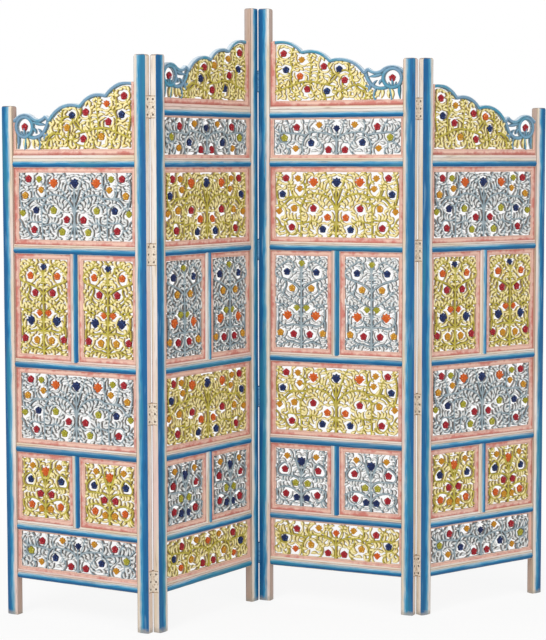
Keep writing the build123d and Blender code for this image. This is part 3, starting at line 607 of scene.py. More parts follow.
def grown(drawing, window, mirrored, chance):
    """All strokes of a drawing: its stems, the leaves along them, the calyx round each flower and
    leaves that fill the voids. window says how far inside the carved window each place lies.
    """
    width, height = drawing["opening"]
    flowers = [(x, y) for x, y, *_ in drawing["flowers"]]
    if "scroll_centre" in drawing:
        flowers.append(drawing["scroll_centre"])
    own = len(flowers)
    if mirrored:
        flowers += [(-x, y) for x, y in flowers if x]
    strokes, leaders = [], []
    for kind, start, end in (("trunk", STEM_HALF + 1.4, STEM_HALF - 0.4),
                             ("stems", STEM_HALF + 0.4, STEM_HALF - 0.7),
                             ("branches", BRANCH_HALF + 0.4, BRANCH_HALF - 0.7)):
        for stem in drawing[kind]:
            path, headings = flow(stem)
            strokes.append((path, np.linspace(start, end, len(path)), kind))
            leaders.append((path, headings))

    # A coarse map of what is already wood, so that new leaves keep clear of it and of the flowers.
    pitch = 2.5
    low = 0.0 if mirrored else -width / 2
    foot = -height / 2 if mirrored else 0.0
    xs = np.arange(low, width / 2 + pitch, pitch)
    ys = np.arange(foot, foot + height + pitch, pitch)
    x, y = np.meshgrid(xs, ys)
    field = window(x, y)
    wood = -field
    for path, halves, _ in strokes:
        wood = np.maximum(wood, reach_of(path, halves, x, y)[0])
    clear = np.full(x.shape, -1e6)
    for fx, fy in flowers:
        clear = np.maximum(clear, FLOWER_RADIUS + FLOWER_CLEAR - np.hypot(x - fx, y - fy))

    def sample(grid, at):
        column = np.clip(np.round((at[:, 0] - low) / pitch).astype(int), 0, len(xs) - 1)
        row = np.clip(np.round((at[:, 1] - foot) / pitch).astype(int), 0, len(ys) - 1)
        return grid[row, column]

    def try_leaf(path, halves, kind, room, shared):
        """Adds a leaf unless it would crowd a flower or its neighbours."""
        nonlocal wood
        outer = path[3:]
        if (sample(clear, outer) > 1.0).any() or np.mean(sample(wood, outer) > -room) > shared:
            return False
        if mirrored and path[:, 0].min() < 0:
            return False
        strokes.append((path, halves, kind))
        wood = np.maximum(wood, reach_of(path, halves, x, y)[0])
        return True

    # The calyx: two leaves that leave the stalk and curl round each flower.
    for fx, fy in flowers[:own]:
        def away_from(point):
            return math.hypot(point[0] - fx, point[1] - fy)

        reach = FLOWER_RADIUS + FLOWER_CLEAR + CALYX_HALF * 0.8
        stalks = [path[-2] for path, _ in leaders if away_from(path[-1]) < FLOWER_RADIUS + 3]
        if not stalks:
            stalks = [min((point for path, _ in leaders for point in path), key=away_from)]
        stalk = math.atan2(stalks[0][1] - fy, stalks[0][0] - fx)
        for side in (1, -1):
            for sweep in (1.7, 1.3, 1.0):
                turns = stalk + side * np.linspace(0.0, sweep * chance.uniform(0.9, 1.1), 14)
                grow = reach + np.linspace(0, 3.0, 14) ** 1.5 * 0.9
                path = np.stack((fx + grow * np.cos(turns), fy + grow * np.sin(turns)), 1)
                halves = CALYX_HALF * np.sin(np.pi * np.linspace(0.25, 1, 14)) + 0.9
                if try_leaf(path, halves, "leaf", -1.5, 0.4):
                    break

    for path, headings in leaders:
        side = chance.choice((-1, 1))
        index = 3
        while index < len(path) - 2:
            for swing in (side, -side):
                made = leaf(path[index], headings[index] + swing * chance.uniform(0.4, 0.8),
                            chance.uniform(17, 31), swing * chance.uniform(1.0, 2.9),
                            LEAF_HALF * chance.uniform(0.85, 1.1))
                if not try_leaf(*made, "leaf", 1.6, 0.3):
                    made = leaf(path[index], headings[index] + swing * 0.7, chance.uniform(11, 15),
                                swing * chance.uniform(0.5, 1.2), LEAF_HALF * 0.85)
                    try_leaf(*made, "leaf", 1.6, 0.34)
            side = -side
            index += chance.choice((5, 7, 9))

    # Fill the widest gaps, one leaf each, grown from the nearest wood.
    for _ in range(200):
        gap = np.where(field > 0, -np.maximum(wood, clear + 1.2), 0)
        row, column = np.unravel_index(np.argmax(gap), gap.shape)
        if gap[row, column] < VOID:
            break
        spot = np.array((x[row, column], y[row, column]))
        best = None
        for path, _, kind in strokes:
            away = np.hypot(*(path - spot).T) + (3.0 if kind == "leaf" else 0.0)
            at = int(np.argmin(away))
            if best is None or away[at] < best[0]:
                best = (away[at], path[at])
        root = best[1]
        heading = math.atan2(spot[1] - root[1], spot[0] - root[0])
        curl = chance.choice((-1, 1)) * 1.1
        made = leaf(root, heading - curl * 0.35, best[0] + 5.0, curl, LEAF_HALF)
        if not try_leaf(*made, "leaf", 0.4, 0.34):
            wood = np.maximum(wood, 2.0 - np.hypot(x - spot[0], y - spot[1]))
    return strokes


def crest_edge():
    """Points along the scalloped edge of the crest, in its arcs through three points each."""
    here = CREST["edge_start"]
    line = [here]
    for (bx, by), (cx, cy) in CREST["edge"]:
        ax, ay = here
        twice = 2 * (ax * (by - cy) + bx * (cy - ay) + cx * (ay - by))
        a2, b2, c2 = ax * ax + ay * ay, bx * bx + by * by, cx * cx + cy * cy
        ox = (a2 * (by - cy) + b2 * (cy - ay) + c2 * (ay - by)) / twice
        oy = (a2 * (cx - bx) + b2 * (ax - cx) + c2 * (bx - ax)) / twice
        first, last = math.atan2(ay - oy, ax - ox), math.atan2(cy - oy, cx - ox)
        turn = 1 if twice > 0 else -1
        sweep = (turn * (last - first)) % (2 * math.pi) * turn
        radius = math.hypot(ax - ox, ay - oy)
        line += [(ox + radius * math.cos(first + sweep * t), oy + radius * math.sin(first + sweep * t))
                 for t in np.linspace(0, 1, 25)[1:]]
        here = (cx, cy)
    return np.array(line)


def under_edge(x, y):
    """How far each place lies under the scalloped edge, less than nothing above it."""
    line = crest_edge()
    line = np.concatenate(([line[0] - (20, 0)], line, [line[-1] + (20, 0)]))
    under = np.zeros(x.shape, bool)
    for (x0, y0), (x1, y1) in zip(line, line[1:]):
        passed = (x0 <= x) != (x1 <= x)
        under ^= passed & (y < y0 + (x - x0) * (y1 - y0) / (x1 - x0 if passed.any() else 1))
    away = -reach_of(line, np.zeros(len(line)), x, y)[0]
    return np.where(under, away, -away)


def board_fields(drawing, x, y):
    """How far each place lies inside the board, and inside the window that is carved."""
    width, height = drawing["opening"]
    if drawing is CREST:
        edge = under_edge(x, y)
        board = np.minimum(np.minimum(edge, width / 2 + TONGUE - np.abs(x)), y + TONGUE)
        sides = np.minimum(width / 2 - MARGIN - x, x + width / 2 - CREST_LOW_MARGIN)
        return board, np.minimum(np.minimum(edge - CREST_RIM, sides), y - CREST_FOOT)
    side, over, under = drawing["margins"]
    beside = width / 2 - np.abs(x)
    board = np.minimum(beside, height / 2 - np.abs(y)) + TONGUE
    return board, np.minimum(np.minimum(beside - side, height / 2 - y - over), y + height / 2 - under)


def carved(drawing):
    """The points, faces and paint of one carved board, in millimetres: the way a carver works it.

    Returns points as (x, depth, y), the corners of all faces and how many each has, and for each
    point how far across its stroke it lies, how far inside the rim or scroll of a crest, how far
    inside the carved window, and how much it is stem rather than leaf.
    """
    mirrored = drawing is not CREST
    width, height = drawing["opening"]
    chance = random.Random(int(width + height))

    def planted(x, y):
        """How far inside the part of the window that leaves may fill: not beyond a crest's tail."""
        window = board_fields(drawing, x, y)[1]
        if mirrored:
            return window
        tail = flow(CREST["tail"])[0]
        tail = tail[:np.argmin(tail[:, 1]) + 1][::-1]
        return np.minimum(window, x - np.interp(y, tail[:, 1], tail[:, 0]) - CREST_TAIL / 2)

    strokes = grown(drawing, planted, mirrored, chance)
    half_steps = math.ceil((width / 2 + TONGUE) / FRET) + 1
    xs = np.arange(0 if mirrored else -half_steps, half_steps + 1) * FRET
    foot = -height / 2 - TONGUE if mirrored else -TONGUE
    head = height / 2 + TONGUE if mirrored else height
    ys = foot - FRET + np.arange(math.ceil((head - foot) / FRET) + 3) * FRET
    x, y = np.meshgrid(xs, ys)
    board, window = board_fields(drawing, x, y)
    wood = np.minimum(board, -window)
    swell = np.clip(-window / 2.0, 0, 1) * MARGIN_CROWN
    across = np.where(window < 0, MARGIN_ACROSS, 1.0)
    rim = np.full(x.shape, OFF_RIM)
    stem = np.zeros(x.shape)
    widest = 8                  # more than half the width of any stroke

    def carve(path, halves, level, stem_like=0.0, ringed=False):
        """Carves one stroke into the board, where it stands higher than what is there."""
        low, high = path.min(0) - widest, path.max(0) + widest
        columns = slice(*np.searchsorted(xs, (low[0], high[0])))
        rows = slice(*np.searchsorted(ys, (low[1], high[1])))
        if columns.start == columns.stop or rows.start == rows.stop:
            return
        part = (rows, columns)
        inside, off = reach_of(path, halves, x[part], y[part])
        inside = np.minimum(inside, board[part])
        wood[part] = np.maximum(wood[part], inside)
        crown = level * np.sqrt(np.clip(1 - off ** 2, 0, 1)) * (inside > 0)
        higher = crown > swell[part]
        swell[part] = np.where(higher, crown, swell[part])
        across[part] = np.where(higher, off, across[part])
        stem[part] = np.where(higher, stem_like, stem[part])
        if ringed:
            rim[part] = np.maximum(rim[part], inside)

    for path, halves, kind in strokes:
        for side in (1, -1) if mirrored and path[:, 0].min() < widest else (1,):
            carve(path * (side, 1), halves, CROWNS[kind], float(kind != "leaf"))
    if drawing is CREST:
        ring = SCROLL_RADIUS - SCROLL_WIDTH / 2
        cx, cy = drawing["scroll_centre"]
        stalk = (90, (cx, cy - ring), (cx, cy))
        for tie in (stalk, *CREST["scroll_ties"]):
            path = flow(tie)[0]
            carve(path, np.full(len(path), BRANCH_HALF), TIE_CROWN, ringed=True)
        for made in CREST["scroll_leaves"]:
            root_height = made[0][1]
            carve(*leaf(*made), CROWNS["leaf"], ringed=root_height > 55)
        path = flow(CREST["tail"])[0]
        carve(path, np.full(len(path), CREST_TAIL / 2), 1.0, ringed=True)
        # The rim runs on from the low end to the margin at the high end.
        edge = np.abs(under_edge(x, y) - CREST_RIM / 2) + 9.0 * (x > width / 2 - MARGIN + 2)
        for away in (edge / (CREST_RIM / 2), np.abs(np.hypot(x - cx, y - cy) - ring) / (SCROLL_WIDTH / 2)):
            inside = (1 - away) * SCROLL_WIDTH / 2
            wood = np.maximum(wood, np.minimum(inside, board))
            rim = np.maximum(rim, inside)
            swell = np.where(away < 1, np.sqrt(np.clip(1 - away ** 4, 0, 1)), swell)
            across = np.where(away < 1, away, across)
    for fx, fy, *_ in drawing["flowers"]:
        for side in (1, -1) if mirrored and 0 < fx < FLOWER_RADIUS else (1,):
            away = np.hypot(x - side * fx, y - fy)
            wood = np.maximum(wood, np.minimum(FLOWER_RADIUS * 0.55 - away, board))
            swell[away < FLOWER_RADIUS] = 0.0
    if mirrored:
        wood, swell, across, rim, window, stem = (np.concatenate((part[:, :0:-1], part), axis=1)
                                                  for part in (wood, swell, across, rim, window, stem))
        xs = np.concatenate((-xs[:0:-1], xs))
    return fretted(xs, ys, wood, (swell, across, rim, window, stem))


def fretted(xs, ys, wood, values):
    """Saws a board out where wood is above nothing: a front, a back and the walls between them."""
    def crossing(here, there):
        """How far from here to there the wood ends, kept off both so that no face is a sliver."""
        return np.clip(here / np.where(here == there, 1, here - there), 0.12, 0.88)

    # The saw's line crosses the sides of the cells: those to the right first, then those upward.
    fields = np.stack((*np.meshgrid(xs, ys), *values))
    to_right, upward = np.zeros(wood.shape), np.zeros(wood.shape)
    to_right[:, :-1] = crossing(wood[:, :-1], wood[:, 1:])
    upward[:-1] = crossing(wood[:-1], wood[1:])
    everything = np.stack((fields, fields + to_right * (np.roll(fields, -1, 2) - fields),
                           fields + upward * (np.roll(fields, -1, 1) - fields)), 1).reshape(len(fields), -1)
    size = wood.size
    number = np.arange(size).reshape(wood.shape)

    def four(grid):
        """The four corners of every cell, counterclockwise from its lowest left."""
        return [grid[:-1, :-1], grid[:-1, 1:], grid[1:, 1:], grid[1:, :-1]]

    corners = four(number)
    sides = [size + corners[0], 2 * size + corners[1], size + corners[3], 2 * size + corners[0]]
    code = sum(part.astype(int) << bit for bit, part in enumerate(four(wood > 0)))
    faces, walls = {}, []
    for case in range(1, 16):
        cells = code == case
        if not cells.any():
            continue
        polygon, sawn = [], []
        for corner in range(4):
            here, after = case >> corner & 1, case >> (corner + 1) % 4 & 1
            if here:
                polygon.append(corners[corner][cells])
            if here > after:
                sawn.append(len(polygon))
            if here != after:
                polygon.append(sides[corner][cells])
        faces.setdefault(len(polygon), []).append(np.stack(polygon, 1))
        for index in sawn:
            walls.append(np.stack((polygon[index], polygon[(index + 1) % len(polygon)]), 1))
    walls = np.concatenate(walls)
    used = np.unique(np.concatenate([part.ravel() for group in faces.values() for part in group]))
    count = len(used)
    renumber = np.zeros(3 * size, int)
    renumber[used] = np.arange(count)
    px, py, swell, *paint = everything[:, used]
    front = np.stack((px, FACE + FACE_RELIEF * (1 - swell), py), 1)
    back = np.stack((px, BACK - BACK_RELIEF * (1 - swell), py), 1)
    loops, counts = [], []
    for corner_count, groups in faces.items():
        flat = renumber[np.concatenate(groups)]
        for side in (flat, flat[:, ::-1] + count):
            loops.append(side.ravel())
            counts.append(np.full(len(side), corner_count))
    first, last = renumber[walls[:, 0]], renumber[walls[:, 1]]
    loops.append(np.stack((first, first + count, last + count, last), 1).ravel())
    counts.append(np.full(len(walls), 4))
    return (np.concatenate((front, back)), np.concatenate(loops), np.concatenate(counts),
            [np.concatenate((part, part)) for part in paint])


def flower_head(kind, radius):
    """The points, faces and ridges of one carved flower, facing forward about the origin.

    A rose has five broad petals round a boss, a lotus opens upward from a pointed foot, and a
    bud is a small closed lotus.
    """
    spokes = 60
    angle = np.arange(spokes) * 2 * math.pi / spokes
    up = np.abs((angle - math.pi / 2 + math.pi) % (2 * math.pi) - math.pi)
    if kind == "rose":
        petal = np.abs(np.cos(2.5 * up))
        outline = 0.72 + 0.22 * petal ** 0.6 + 0.08 * np.cos(15 * up)
    else:
        petal = np.abs(np.cos(4.5 * up)) ** 1.4 * (up < 1.75)
        foot = 0.14 * np.exp(-((up - math.pi) / 0.3) ** 2)
        outline = np.where(up < 1.75, 0.74 + 0.32 * petal, 0.66) + foot
    radius *= {"rose": 1.0, "lotus": 1.32, "bud": 0.95}[kind]
    shares = (0.14, 0.27, 0.33, 0.46, 0.62, 0.8, 0.93, 1.0)
    heights = (0.97, 0.8, 0.42, 0.72, 0.86, 0.66, 0.34, 0.0)
    top, boss_ridge, wall_ridge = FACE + 0.2, 0.8, 0.7
    points, ridges = [(0, top, 0)], [boss_ridge]
    for share, rise in zip(shares, heights):
        rise = rise * (0.4 + 0.6 * petal) if share > 0.3 else np.full(spokes, rise)
        reach = radius * share * (outline if share > 0.3 else np.ones(spokes))
        points += list(zip(reach * np.cos(angle), top + 3.4 * (1 - rise), reach * np.sin(angle)))
        ridges += list(1 - rise) if share > 0.3 else [boss_ridge] * spokes
    reach = radius * 0.92 * outline
    points += list(zip(reach * np.cos(angle), np.full(spokes, BACK - 3.0), reach * np.sin(angle)))
    points.append((0, BACK - 2.2, 0))
    ridges += [wall_ridge] * (spokes + 1)
    rings = len(shares) + 1
    faces = []
    for index in range(spokes):
        after = (index + 1) % spokes
        faces.append((0, 1 + index, 1 + after))
        for ring in range(rings - 1):
            start = 1 + ring * spokes
            faces.append((start + index, start + spokes + index, start + spokes + after, start + after))
        start = 1 + (rings - 1) * spokes
        faces.append((start + after, start + index, start + spokes))
    return np.array(points), faces, np.array(ridges)


# The paints of the flowers: name, petals, the painted highlight on their ridges and the rim of each
# highlighted place.
PAINTS = (("red", "#9C1826", "#C24648", "#AC3D3F"),
          ("orange", "#CC5C1C", "#EA9450", "#D38246"),
          ("navy", "#122352", "#33528C", "#2C477B"),
          ("ochre", "#C68A20", "#E2BC60", "#CDA854"),
          ("lime", "#A29C2C", "#C6C064", "#B2AD57"))
PAINT_SLOTS = {name: 1 + index for index, (name, *_) in enumerate(PAINTS)}
heads = {kind: flower_head(kind, FLOWER_RADIUS) for kind in ("rose", "lotus", "bud")}


def board_mesh(name, drawing, work, which_paint, rise, flipped, phase):
    """A carved board with its flowers, as a mesh in metres about the middle of its opening."""
    points, loops, counts, paint = ([part] for part in work)
    slots = [np.zeros(len(counts[0]), int)]
    total = len(points[0])
    flowers = []
    for x, y, kind, *colours in drawing["flowers"]:
        flowers.append((x, y, kind, colours[which_paint]))
        if drawing is not CREST and x:
            flowers.append((-x, y, kind, colours[which_paint]))
    if drawing is CREST:
        flowers.append((*drawing["scroll_centre"], "rose", "red"))
    for x, y, kind, colour in flowers:
        head, faces, ridges = heads[kind]
        points.append(head + (x, 0, y))
        loops.append(np.array([corner for face in faces for corner in face]) + total)
        counts.append(np.array([len(face) for face in faces]))
        paint.append(np.array([(ridge, OFF_RIM, DEEP_IN_WINDOW, 0.0) for ridge in ridges]).T)
        slots.append(np.full(len(faces), PAINT_SLOTS[colour]))
        total += len(head)
    points, loops, counts, slots = (np.concatenate(part) for part in (points, loops, counts, slots))
    paint = np.concatenate(paint, 1)
    starts = np.concatenate(([0], np.cumsum(counts)[:-1]))
    if flipped:
        points = points * (-1, 1, 1)
        loops = np.concatenate([loops[start:start + count][::-1] for start, count in zip(starts, counts)])
    points = points * (1, 1, rise)
    x, y = points[:, 0], points[:, 2]
    stray = 0.45                # how far hand carving strays from the drawing
    points = points + np.stack((stray * np.sin(y / 17 + phase) * np.sin(x / 23 + 2 * phase),
                                0.2 * np.sin(x / 41 + phase),
                                stray * np.sin(x / 19 - phase) * np.sin(y / 29 + phase)), 1)
    mesh = bpy.data.meshes.new(name)
    mesh.vertices.add(len(points))
    mesh.vertices.foreach_set("co", (points * MM).ravel())
    mesh.loops.add(len(loops))
    mesh.loops.foreach_set("vertex_index", loops)
    mesh.polygons.add(len(counts))
    mesh.polygons.foreach_set("loop_start", starts)
    mesh.polygons.foreach_set("material_index", slots)
    mesh.update(calc_edges=True)
    for label, values in zip(PAINT_GUIDES, paint):
        mesh.attributes.new(label, "FLOAT", "POINT").data.foreach_set("value", values)
    mesh.shade_smooth()
    mesh.set_sharp_from_angle(angle=math.radians(52))
    return mesh


def carved_wood(name, leaves, stems, ridge_highlight, cut_shade, wall_paint):
    """Carved mango wood in patchy distemper, with a painted highlight on the ridges and painted shade in
    the cuts.
    """
    material, _, own, _, streaks = begun(name, (1.0, 1.0, 1.0))
    across, rim, window, stem = (add(material, "Attribute", out="Fac", attribute_name=label)
                                 for label in PAINT_GUIDES)
    cloud = add(material, "TexNoise", {"Vector": own, "Scale": 1 / (15 * MM), "Detail": 4.0})
    leafy = add(material, "ValToRGB", {0: cloud}, leaves)
    woody = add(material, "ValToRGB", {0: cloud}, stems)
    colour = add(material, "Mix", {0: stem, 6: leafy, 7: woody}, out=2, data_type="RGBA")
    # Painted highlight along the ridges of the strokes, strongest on the leaves.
    ridge = add(material, "MapRange", {0: across, 1: 0.6, 2: 0.15, 4: 0.75})
    leafish = add(material, "MapRange", {0: stem, 3: 1.0, 4: 0.25})
    ridge = add(material, "Math", {0: ridge, 1: leafish}, operation="MULTIPLY")
    colour = add(material, "Mix", {0: ridge, 6: colour, 7: ridge_highlight}, out=2, data_type="RGBA")
    # Painted shade towards the edges of the strokes, deepest on the stems.
    cut = add(material, "MapRange", {0: across, 1: 0.68, 2: 0.92, 4: 0.85})
    dark = add(material, "MapRange", {0: stem, 3: 0.72})
    cut = add(material, "Math", {0: cut, 1: dark}, operation="MULTIPLY")
    colour = add(material, "Mix", {0: cut, 6: colour, 7: cut_shade}, out=2, data_type="RGBA")
    ringed = add(material, "MapRange", {0: rim, 1: -0.6, 2: 0.0})
    # The rim and the scroll of a crest: teal, slate and grey in long patches, with painted shade towards
    # the edges of their strokes and a painted highlight along the outer arris.
    patches = add(material, "TexNoise", {"Vector": own, "Scale": 1 / (60 * MM), "Detail": 3.0})
    rim_colour = add(material, "ValToRGB", {0: patches},
                     [(0.36, "#4390AE"), (0.45, "#6195AB"), (0.45, "#70A2BA"), (0.54, "#7496B0")])
    rim_colour = tinted(material, rim_colour, "#4B7080", across, 0.45, 0.85, 0.85)
    rim_colour = tinted(material, rim_colour, "#CFDEE8", window, -8.0, -9.5, 0.8)
    colour = add(material, "Mix", {0: ringed, 6: colour, 7: rim_colour}, out=2, data_type="RGBA")
    # The plain margin: rose pink, with a line scribed along each side of it.
    fade = add(material, "TexNoise", {"Vector": own, "Scale": 1 / (16 * MM), "Detail": 4.0})
    broad = add(material, "TexNoise", {"Vector": own, "Scale": 1 / (110 * MM), "Detail": 2.0})
    fade = add(material, "Math", {0: fade, 1: broad}, operation="ADD")
    inward = add(material, "MapRange", {0: window, 1: -13.0, 2: -3.0, 3: -0.2, 4: 0.12})
    fade = add(material, "Math", {0: fade, 1: inward}, operation="ADD")
    fade = add(material, "Math", {0: fade, 1: 2.0}, operation="DIVIDE")
    pink = add(material, "ValToRGB", {0: fade}, [(0.36, "#CE8074"), (0.5, "#E5BBAD"), (0.5, "#EAC0AE")])
    off_line = add(material, "Math", {0: window, 1: -3.4}, operation="SUBTRACT")
    off_line = add(material, "Math", {0: off_line}, operation="ABSOLUTE")
    line = add(material, "MapRange", {0: off_line, 1: 1.0, 2: 0.3, 4: 0.65})
    outer = add(material, "MapRange", {0: window, 1: -11.5, 2: -14.0, 4: 0.6})
    line = add(material, "Math", {0: line, 1: outer}, operation="MAXIMUM")
    pink = add(material, "Mix", {0: line, 6: pink, 7: "#9E5A4E"}, out=2, data_type="RGBA")
    margin = add(material, "MapRange", {0: window, 1: 0.3, 2: -0.3})
    free = add(material, "Math", {0: 1.0, 1: ringed}, operation="SUBTRACT")
    margin = add(material, "Math", {0: margin, 1: free}, operation="MULTIPLY")
    colour = add(material, "Mix", {0: margin, 6: colour, 7: pink}, out=2, data_type="RGBA")
    # The fretted walls took thin paint over the saw and chisel marks, and have gathered dust.
    normal = add(material, "SeparateXYZ", {0: add(material, "TexCoord", out="Normal")}, out=1)
    flat = add(material, "Math", {0: normal}, operation="ABSOLUTE")
    walls = add(material, "Mix", {0: ringed, 6: wall_paint, 7: "#C2CFD8"}, out=2, data_type="RGBA")
    colour = tinted(material, colour, walls, flat, 0.3, 0.12, 0.7)
    finished(material, colour, own, streaks)
    return material


def flower_paint(name, petals, ridges, rims):
    """Thick paint in uneven dabs on a carved flower, with a painted highlight on the ridges of its petals.
    """
    material, place, own, _, streaks = begun(name, (1.0, 1.0, 1.0))
    across = add(material, "Attribute", out="Fac", attribute_name="across")
    dabs = add(material, "TexNoise", {"Vector": place, "Scale": 1 / (7 * MM), "Detail": 1.0})
    uneven = add(material, "MapRange", {0: dabs, 1: 0.32, 2: 0.68, 3: -0.3, 4: 0.3})
    shade = add(material, "Math", {0: uneven, 1: across}, operation="ADD")
    # Painted highlight where the petals stand highest.
    colour = add(material, "ValToRGB", {0: shade}, [(0.06, ridges), (0.2, rims), (0.2, petals)])
    finished(material, colour, own, streaks)
    return material


yellow_carving = carved_wood(
    "yellow_distemper_carving",
    [(0.3, "#EADA88"), (0.42, "#EDDE98"), (0.42, "#E2CF60"), (0.5, "#EFE2A2"), (0.6, "#D9C05C")],
    [(0.3, "#C2B214"), (0.5, "#A59A12"), (0.5, "#A8980E")], "#FBEFC6", "#574412", "#DCC4B0")
silver_carving = carved_wood(
    "silver_distemper_carving",
    [(0.3, "#C6CCCC"), (0.42, "#D2D5D4"), (0.42, "#AAB5B9"), (0.5, "#D8D4CD"), (0.6, "#96AAB2")],
    [(0.3, "#94A3A9"), (0.5, "#80949D"), (0.5, "#7D929C")], "#F6F6F4", "#343136", "#B9ACA5")
flower_paints = [flower_paint(name + "_paint", *colours) for name, *colours in PAINTS]
worked = {key: carved(drawing) for key, drawing in DRAWINGS.items()}

# Each board's drawing and the rail under it. A crest stands on its panel's top rail.
BOARDS = (("upper_jali", "large", "C"), ("tall_jalis", "tall", "D"), ("middle_jali", "large", "E"),
          ("small_jalis", "small", "F"), ("bottom_jali", "short", "G"), ("crest_jali", "crest", None),
          ("top_jali", "short", "A"))
# The yellow boards of an inner panel and of an outer one, besides the crests. The rest are silver.
ON_YELLOW = {True: ("upper", "middle", "bottom"), False: ("tall", "small")}
quarter = POST_WIDTH + (CLEAR_WIDTH - MUNTIN_WIDTH) / 4
PLACES = {"jali": (PANEL_WIDTH / 2,), "jalis": (quarter, PANEL_WIDTH - quarter)}
for number in stands:
    inner = number in INNER_PANELS
    for board, key, rail in BOARDS if inner else BOARDS[:-1]:
        crest = key == "crest"
        kind, one_or_two = board.split("_")
        if crest:
            height = rail_foot["T" if inner else "A"] + TOP_RAIL_HEIGHT
        else:
            height = rail_foot[rail] + RAIL_HEIGHT + DRAWINGS[key]["opening"][1] * MM / 2
        yellow = crest or kind in ON_YELLOW[inner]
        carving, slot = (yellow_carving, "carved_yellow") if yellow else (silver_carving, "carved_silver")
        for index, along in enumerate(PLACES[one_or_two]):
            name = f"panel_{number}_{board}_carved_{index + 1}"
            mesh = board_mesh(name, DRAWINGS[key], worked[key], number - 1 if crest else int(not yellow),
                              CREST_RISE_INNER if crest and inner else 1, crest and number > 2,
                              number * 1.7 + height * 9 + index)
            stood(name, number, mesh, (along, 0, height), [carving, *flower_paints],
                  f"panel_{number}_{board}")

# ==== Hinges ==============================================================================
# Four butt hinges to a fold. Their stamped brass leaves are let into the sides of the posts,
# screwed there and limewashed with the wood. The brass pins and the steel screws have gone dark.
LEAF_HEIGHT = 64 * MM
HINGE_HEIGHTS = {"outer": (150 * MM, 640 * MM, 1100 * MM, 1520 * MM),
                 "middle": (150 * MM, 640 * MM, 1095 * MM, 1609 * MM)}


def hinge_metal(name, clean, worn, metallic, heights=()):
    """Old hinge metal: one colour with another where it has worn, and that other colour in a line at the
    top and bottom ends of leaves.
    """
    material = bpy.data.materials.new(name)
    material.use_nodes = True
    place = add(material, "TexCoord", out="Object")
    patch = add(material, "TexNoise", {"Vector": place, "Scale": 1 / (6 * MM), "Detail": 3.0})
    patch = add(material, "MapRange", {0: patch, 1: 0.5, 2: 0.68, 4: 0.8})
    up = add(material, "SeparateXYZ", {0: place}, out=2)
    for height in heights:
        near = add(material, "Math", {0: up, 1: height, 2: LEAF_HEIGHT}, operation="COMPARE")
        within = add(material, "Math", {0: up, 1: height, 2: LEAF_HEIGHT / 2 - 2 * MM}, operation="COMPARE")
        end = add(material, "Math", {0: near, 1: within}, operation="SUBTRACT")
        patch = add(material, "Math", {0: patch, 1: end}, operation="MAXIMUM")
    colour = add(material, "Mix", {0: patch, 6: clean, 7: worn}, out=2, data_type="RGBA")
    bump = add(material, "Bump", {"Height": patch, "Strength": 0.2, "Distance": 0.3 * MM})
    shader = material.node_tree.nodes["Principled BSDF"]
    shader.inputs["Metallic"].default_value = metallic
    shader.inputs["Roughness"].default_value = 0.55
    for socket, value in (("Base Color", colour), ("Normal", bump)):
        material.node_tree.links.new(value, shader.inputs[socket])
    return material


outer_leaf = hinge_metal("limewashed_brass", "#E6DACA", "#A08468", 0.0, HINGE_HEIGHTS["outer"])
middle_leaf = hinge_metal("blue_washed_brass", "#6E9DBC", "#2B4E6C", 0.0, HINGE_HEIGHTS["middle"])
dark_metal = hinge_metal("tarnished_metal", "#6A5F54", "#4A4038", 0.6)
for name, node in frame["nodes"].items():
    if name.endswith(("leaves", "pins", "screws")):
        node.data.materials.clear()
        washed = middle_leaf if name.startswith("fold_23") else outer_leaf
        node.data.materials.append(washed if name.endswith("leaves") else dark_metal)

# ==== Floor, light and camera =============================================================
# A plain pale studio: a white floor and backdrop in one, with broad soft lamps.
def white_stage(name):
    """Matt white that the camera and metal see as white, but for the screen's soft shadow."""
    material = bpy.data.materials.new(name)
    material.use_nodes = True
    shader = material.node_tree.nodes["Principled BSDF"]
    shader.inputs["Base Color"].default_value = linear("#EFEFEF")
    shader.inputs["Roughness"].default_value = 0.9
    ray = add(material, "LightPath", out=None)
    seen = add(material, "Math", {0: ray["Is Camera Ray"], 1: ray["Is Glossy Ray"]}, operation="MAXIMUM")
    seen = add(material, "Math", {0: seen, 1: ray["Is Transmission Ray"]}, operation="MAXIMUM")
    place = add(material, "TexCoord", out="Object")
    away = add(material, "VectorMath", {0: place}, out="Value", operation="LENGTH")
    white = add(material, "MapRange", {0: away, 1: 0.9, 2: 2.2, 3: 0.85})
    white = add(material, "Math", {0: white, 1: seen}, operation="MULTIPLY")
    glow = add(material, "Emission", {"Color": (1, 1, 1, 1), "Strength": 1.0})
    mixed = add(material, "MixShader", {0: white, 1: shader.outputs[0], 2: glow})
    material.node_tree.links.new(mixed, material.node_tree.nodes["Material Output"].inputs["Surface"])
    return material


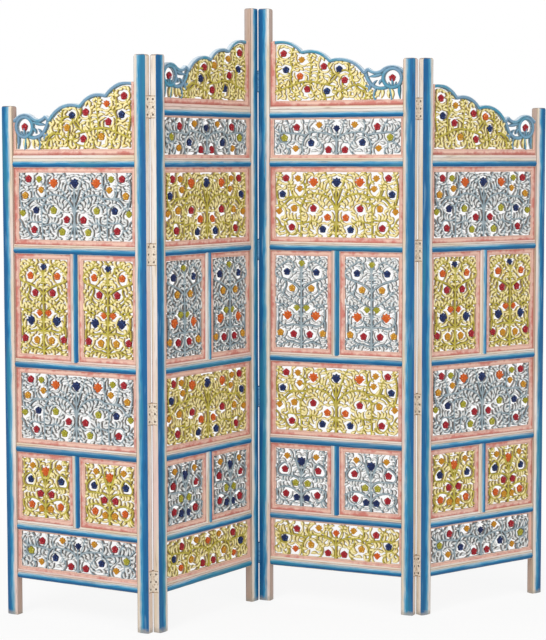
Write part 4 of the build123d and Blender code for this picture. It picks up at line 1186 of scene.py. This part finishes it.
floor_mesh = bpy.data.meshes.new("studio_floor")
floor_mesh.from_pydata([(-8, -8, 0), (8, -8, 0), (8, 8, 0), (-8, 8, 0)], [], [(0, 1, 2, 3)])
floor = bpy.data.objects.new("studio_floor", floor_mesh)
bpy.context.scene.collection.objects.link(floor)
floor_mesh.materials.append(white_stage("white_floor"))

world = bpy.data.worlds.new("studio")
bpy.context.scene.world = world
world.use_nodes = True
ray = add(world, "LightPath", out=None)
seen = add(world, "Math", {0: ray["Is Camera Ray"], 1: ray["Is Glossy Ray"]}, operation="MAXIMUM")
lit = add(world, "Background", {"Color": (1, 1, 1, 1), "Strength": 0.48})
white = add(world, "Background", {"Color": (1, 1, 1, 1), "Strength": 1.0})
mixed = add(world, "MixShader", {0: seen, 1: lit, 2: white})
world.node_tree.links.new(mixed, world.node_tree.nodes["World Output"].inputs["Surface"])

MIDDLE = Vector((0, 0, 0.9))    # of the screen, where the lamps are aimed
for name, power, size, place in (("key_light", 106, 2.0, (-2.2, -3.4, 3.4)),
                                 ("fill_light", 48, 3.0, (2.6, -3.2, 2.4)),
                                 ("top_light", 34, 3.0, (0, 0.4, 4.4))):
    lamp = bpy.data.lights.new(name, "AREA")
    lamp.energy, lamp.size = power, size
    light = bpy.data.objects.new(name, lamp)
    bpy.context.scene.collection.objects.link(light)
    light.location = place
    light.rotation_euler = (MIDDLE - Vector(place)).to_track_quat("-Z", "Y").to_euler()

lens = bpy.data.cameras.new("camera")
lens.sensor_fit, lens.sensor_height, lens.lens = "VERTICAL", 36, 107.35
camera = bpy.data.objects.new("camera", lens)
bpy.context.scene.collection.objects.link(camera)
YAW, PITCH, ROLL = math.radians(1.82), math.radians(-4.73), math.radians(-0.08)
aim = Vector((math.sin(YAW) * math.cos(PITCH), math.cos(YAW) * math.cos(PITCH), math.sin(PITCH)))
CAMERA_PLACE = (-0.2078, -5.7070, 1.3633)
camera.matrix_world = (Matrix.Translation(CAMERA_PLACE)
                       @ aim.to_track_quat("-Z", "Y").to_matrix().to_4x4() @ Matrix.Rotation(ROLL, 4, "Z"))
bpy.context.scene.camera = camera
bpy.context.scene.view_settings.view_transform = "Standard"
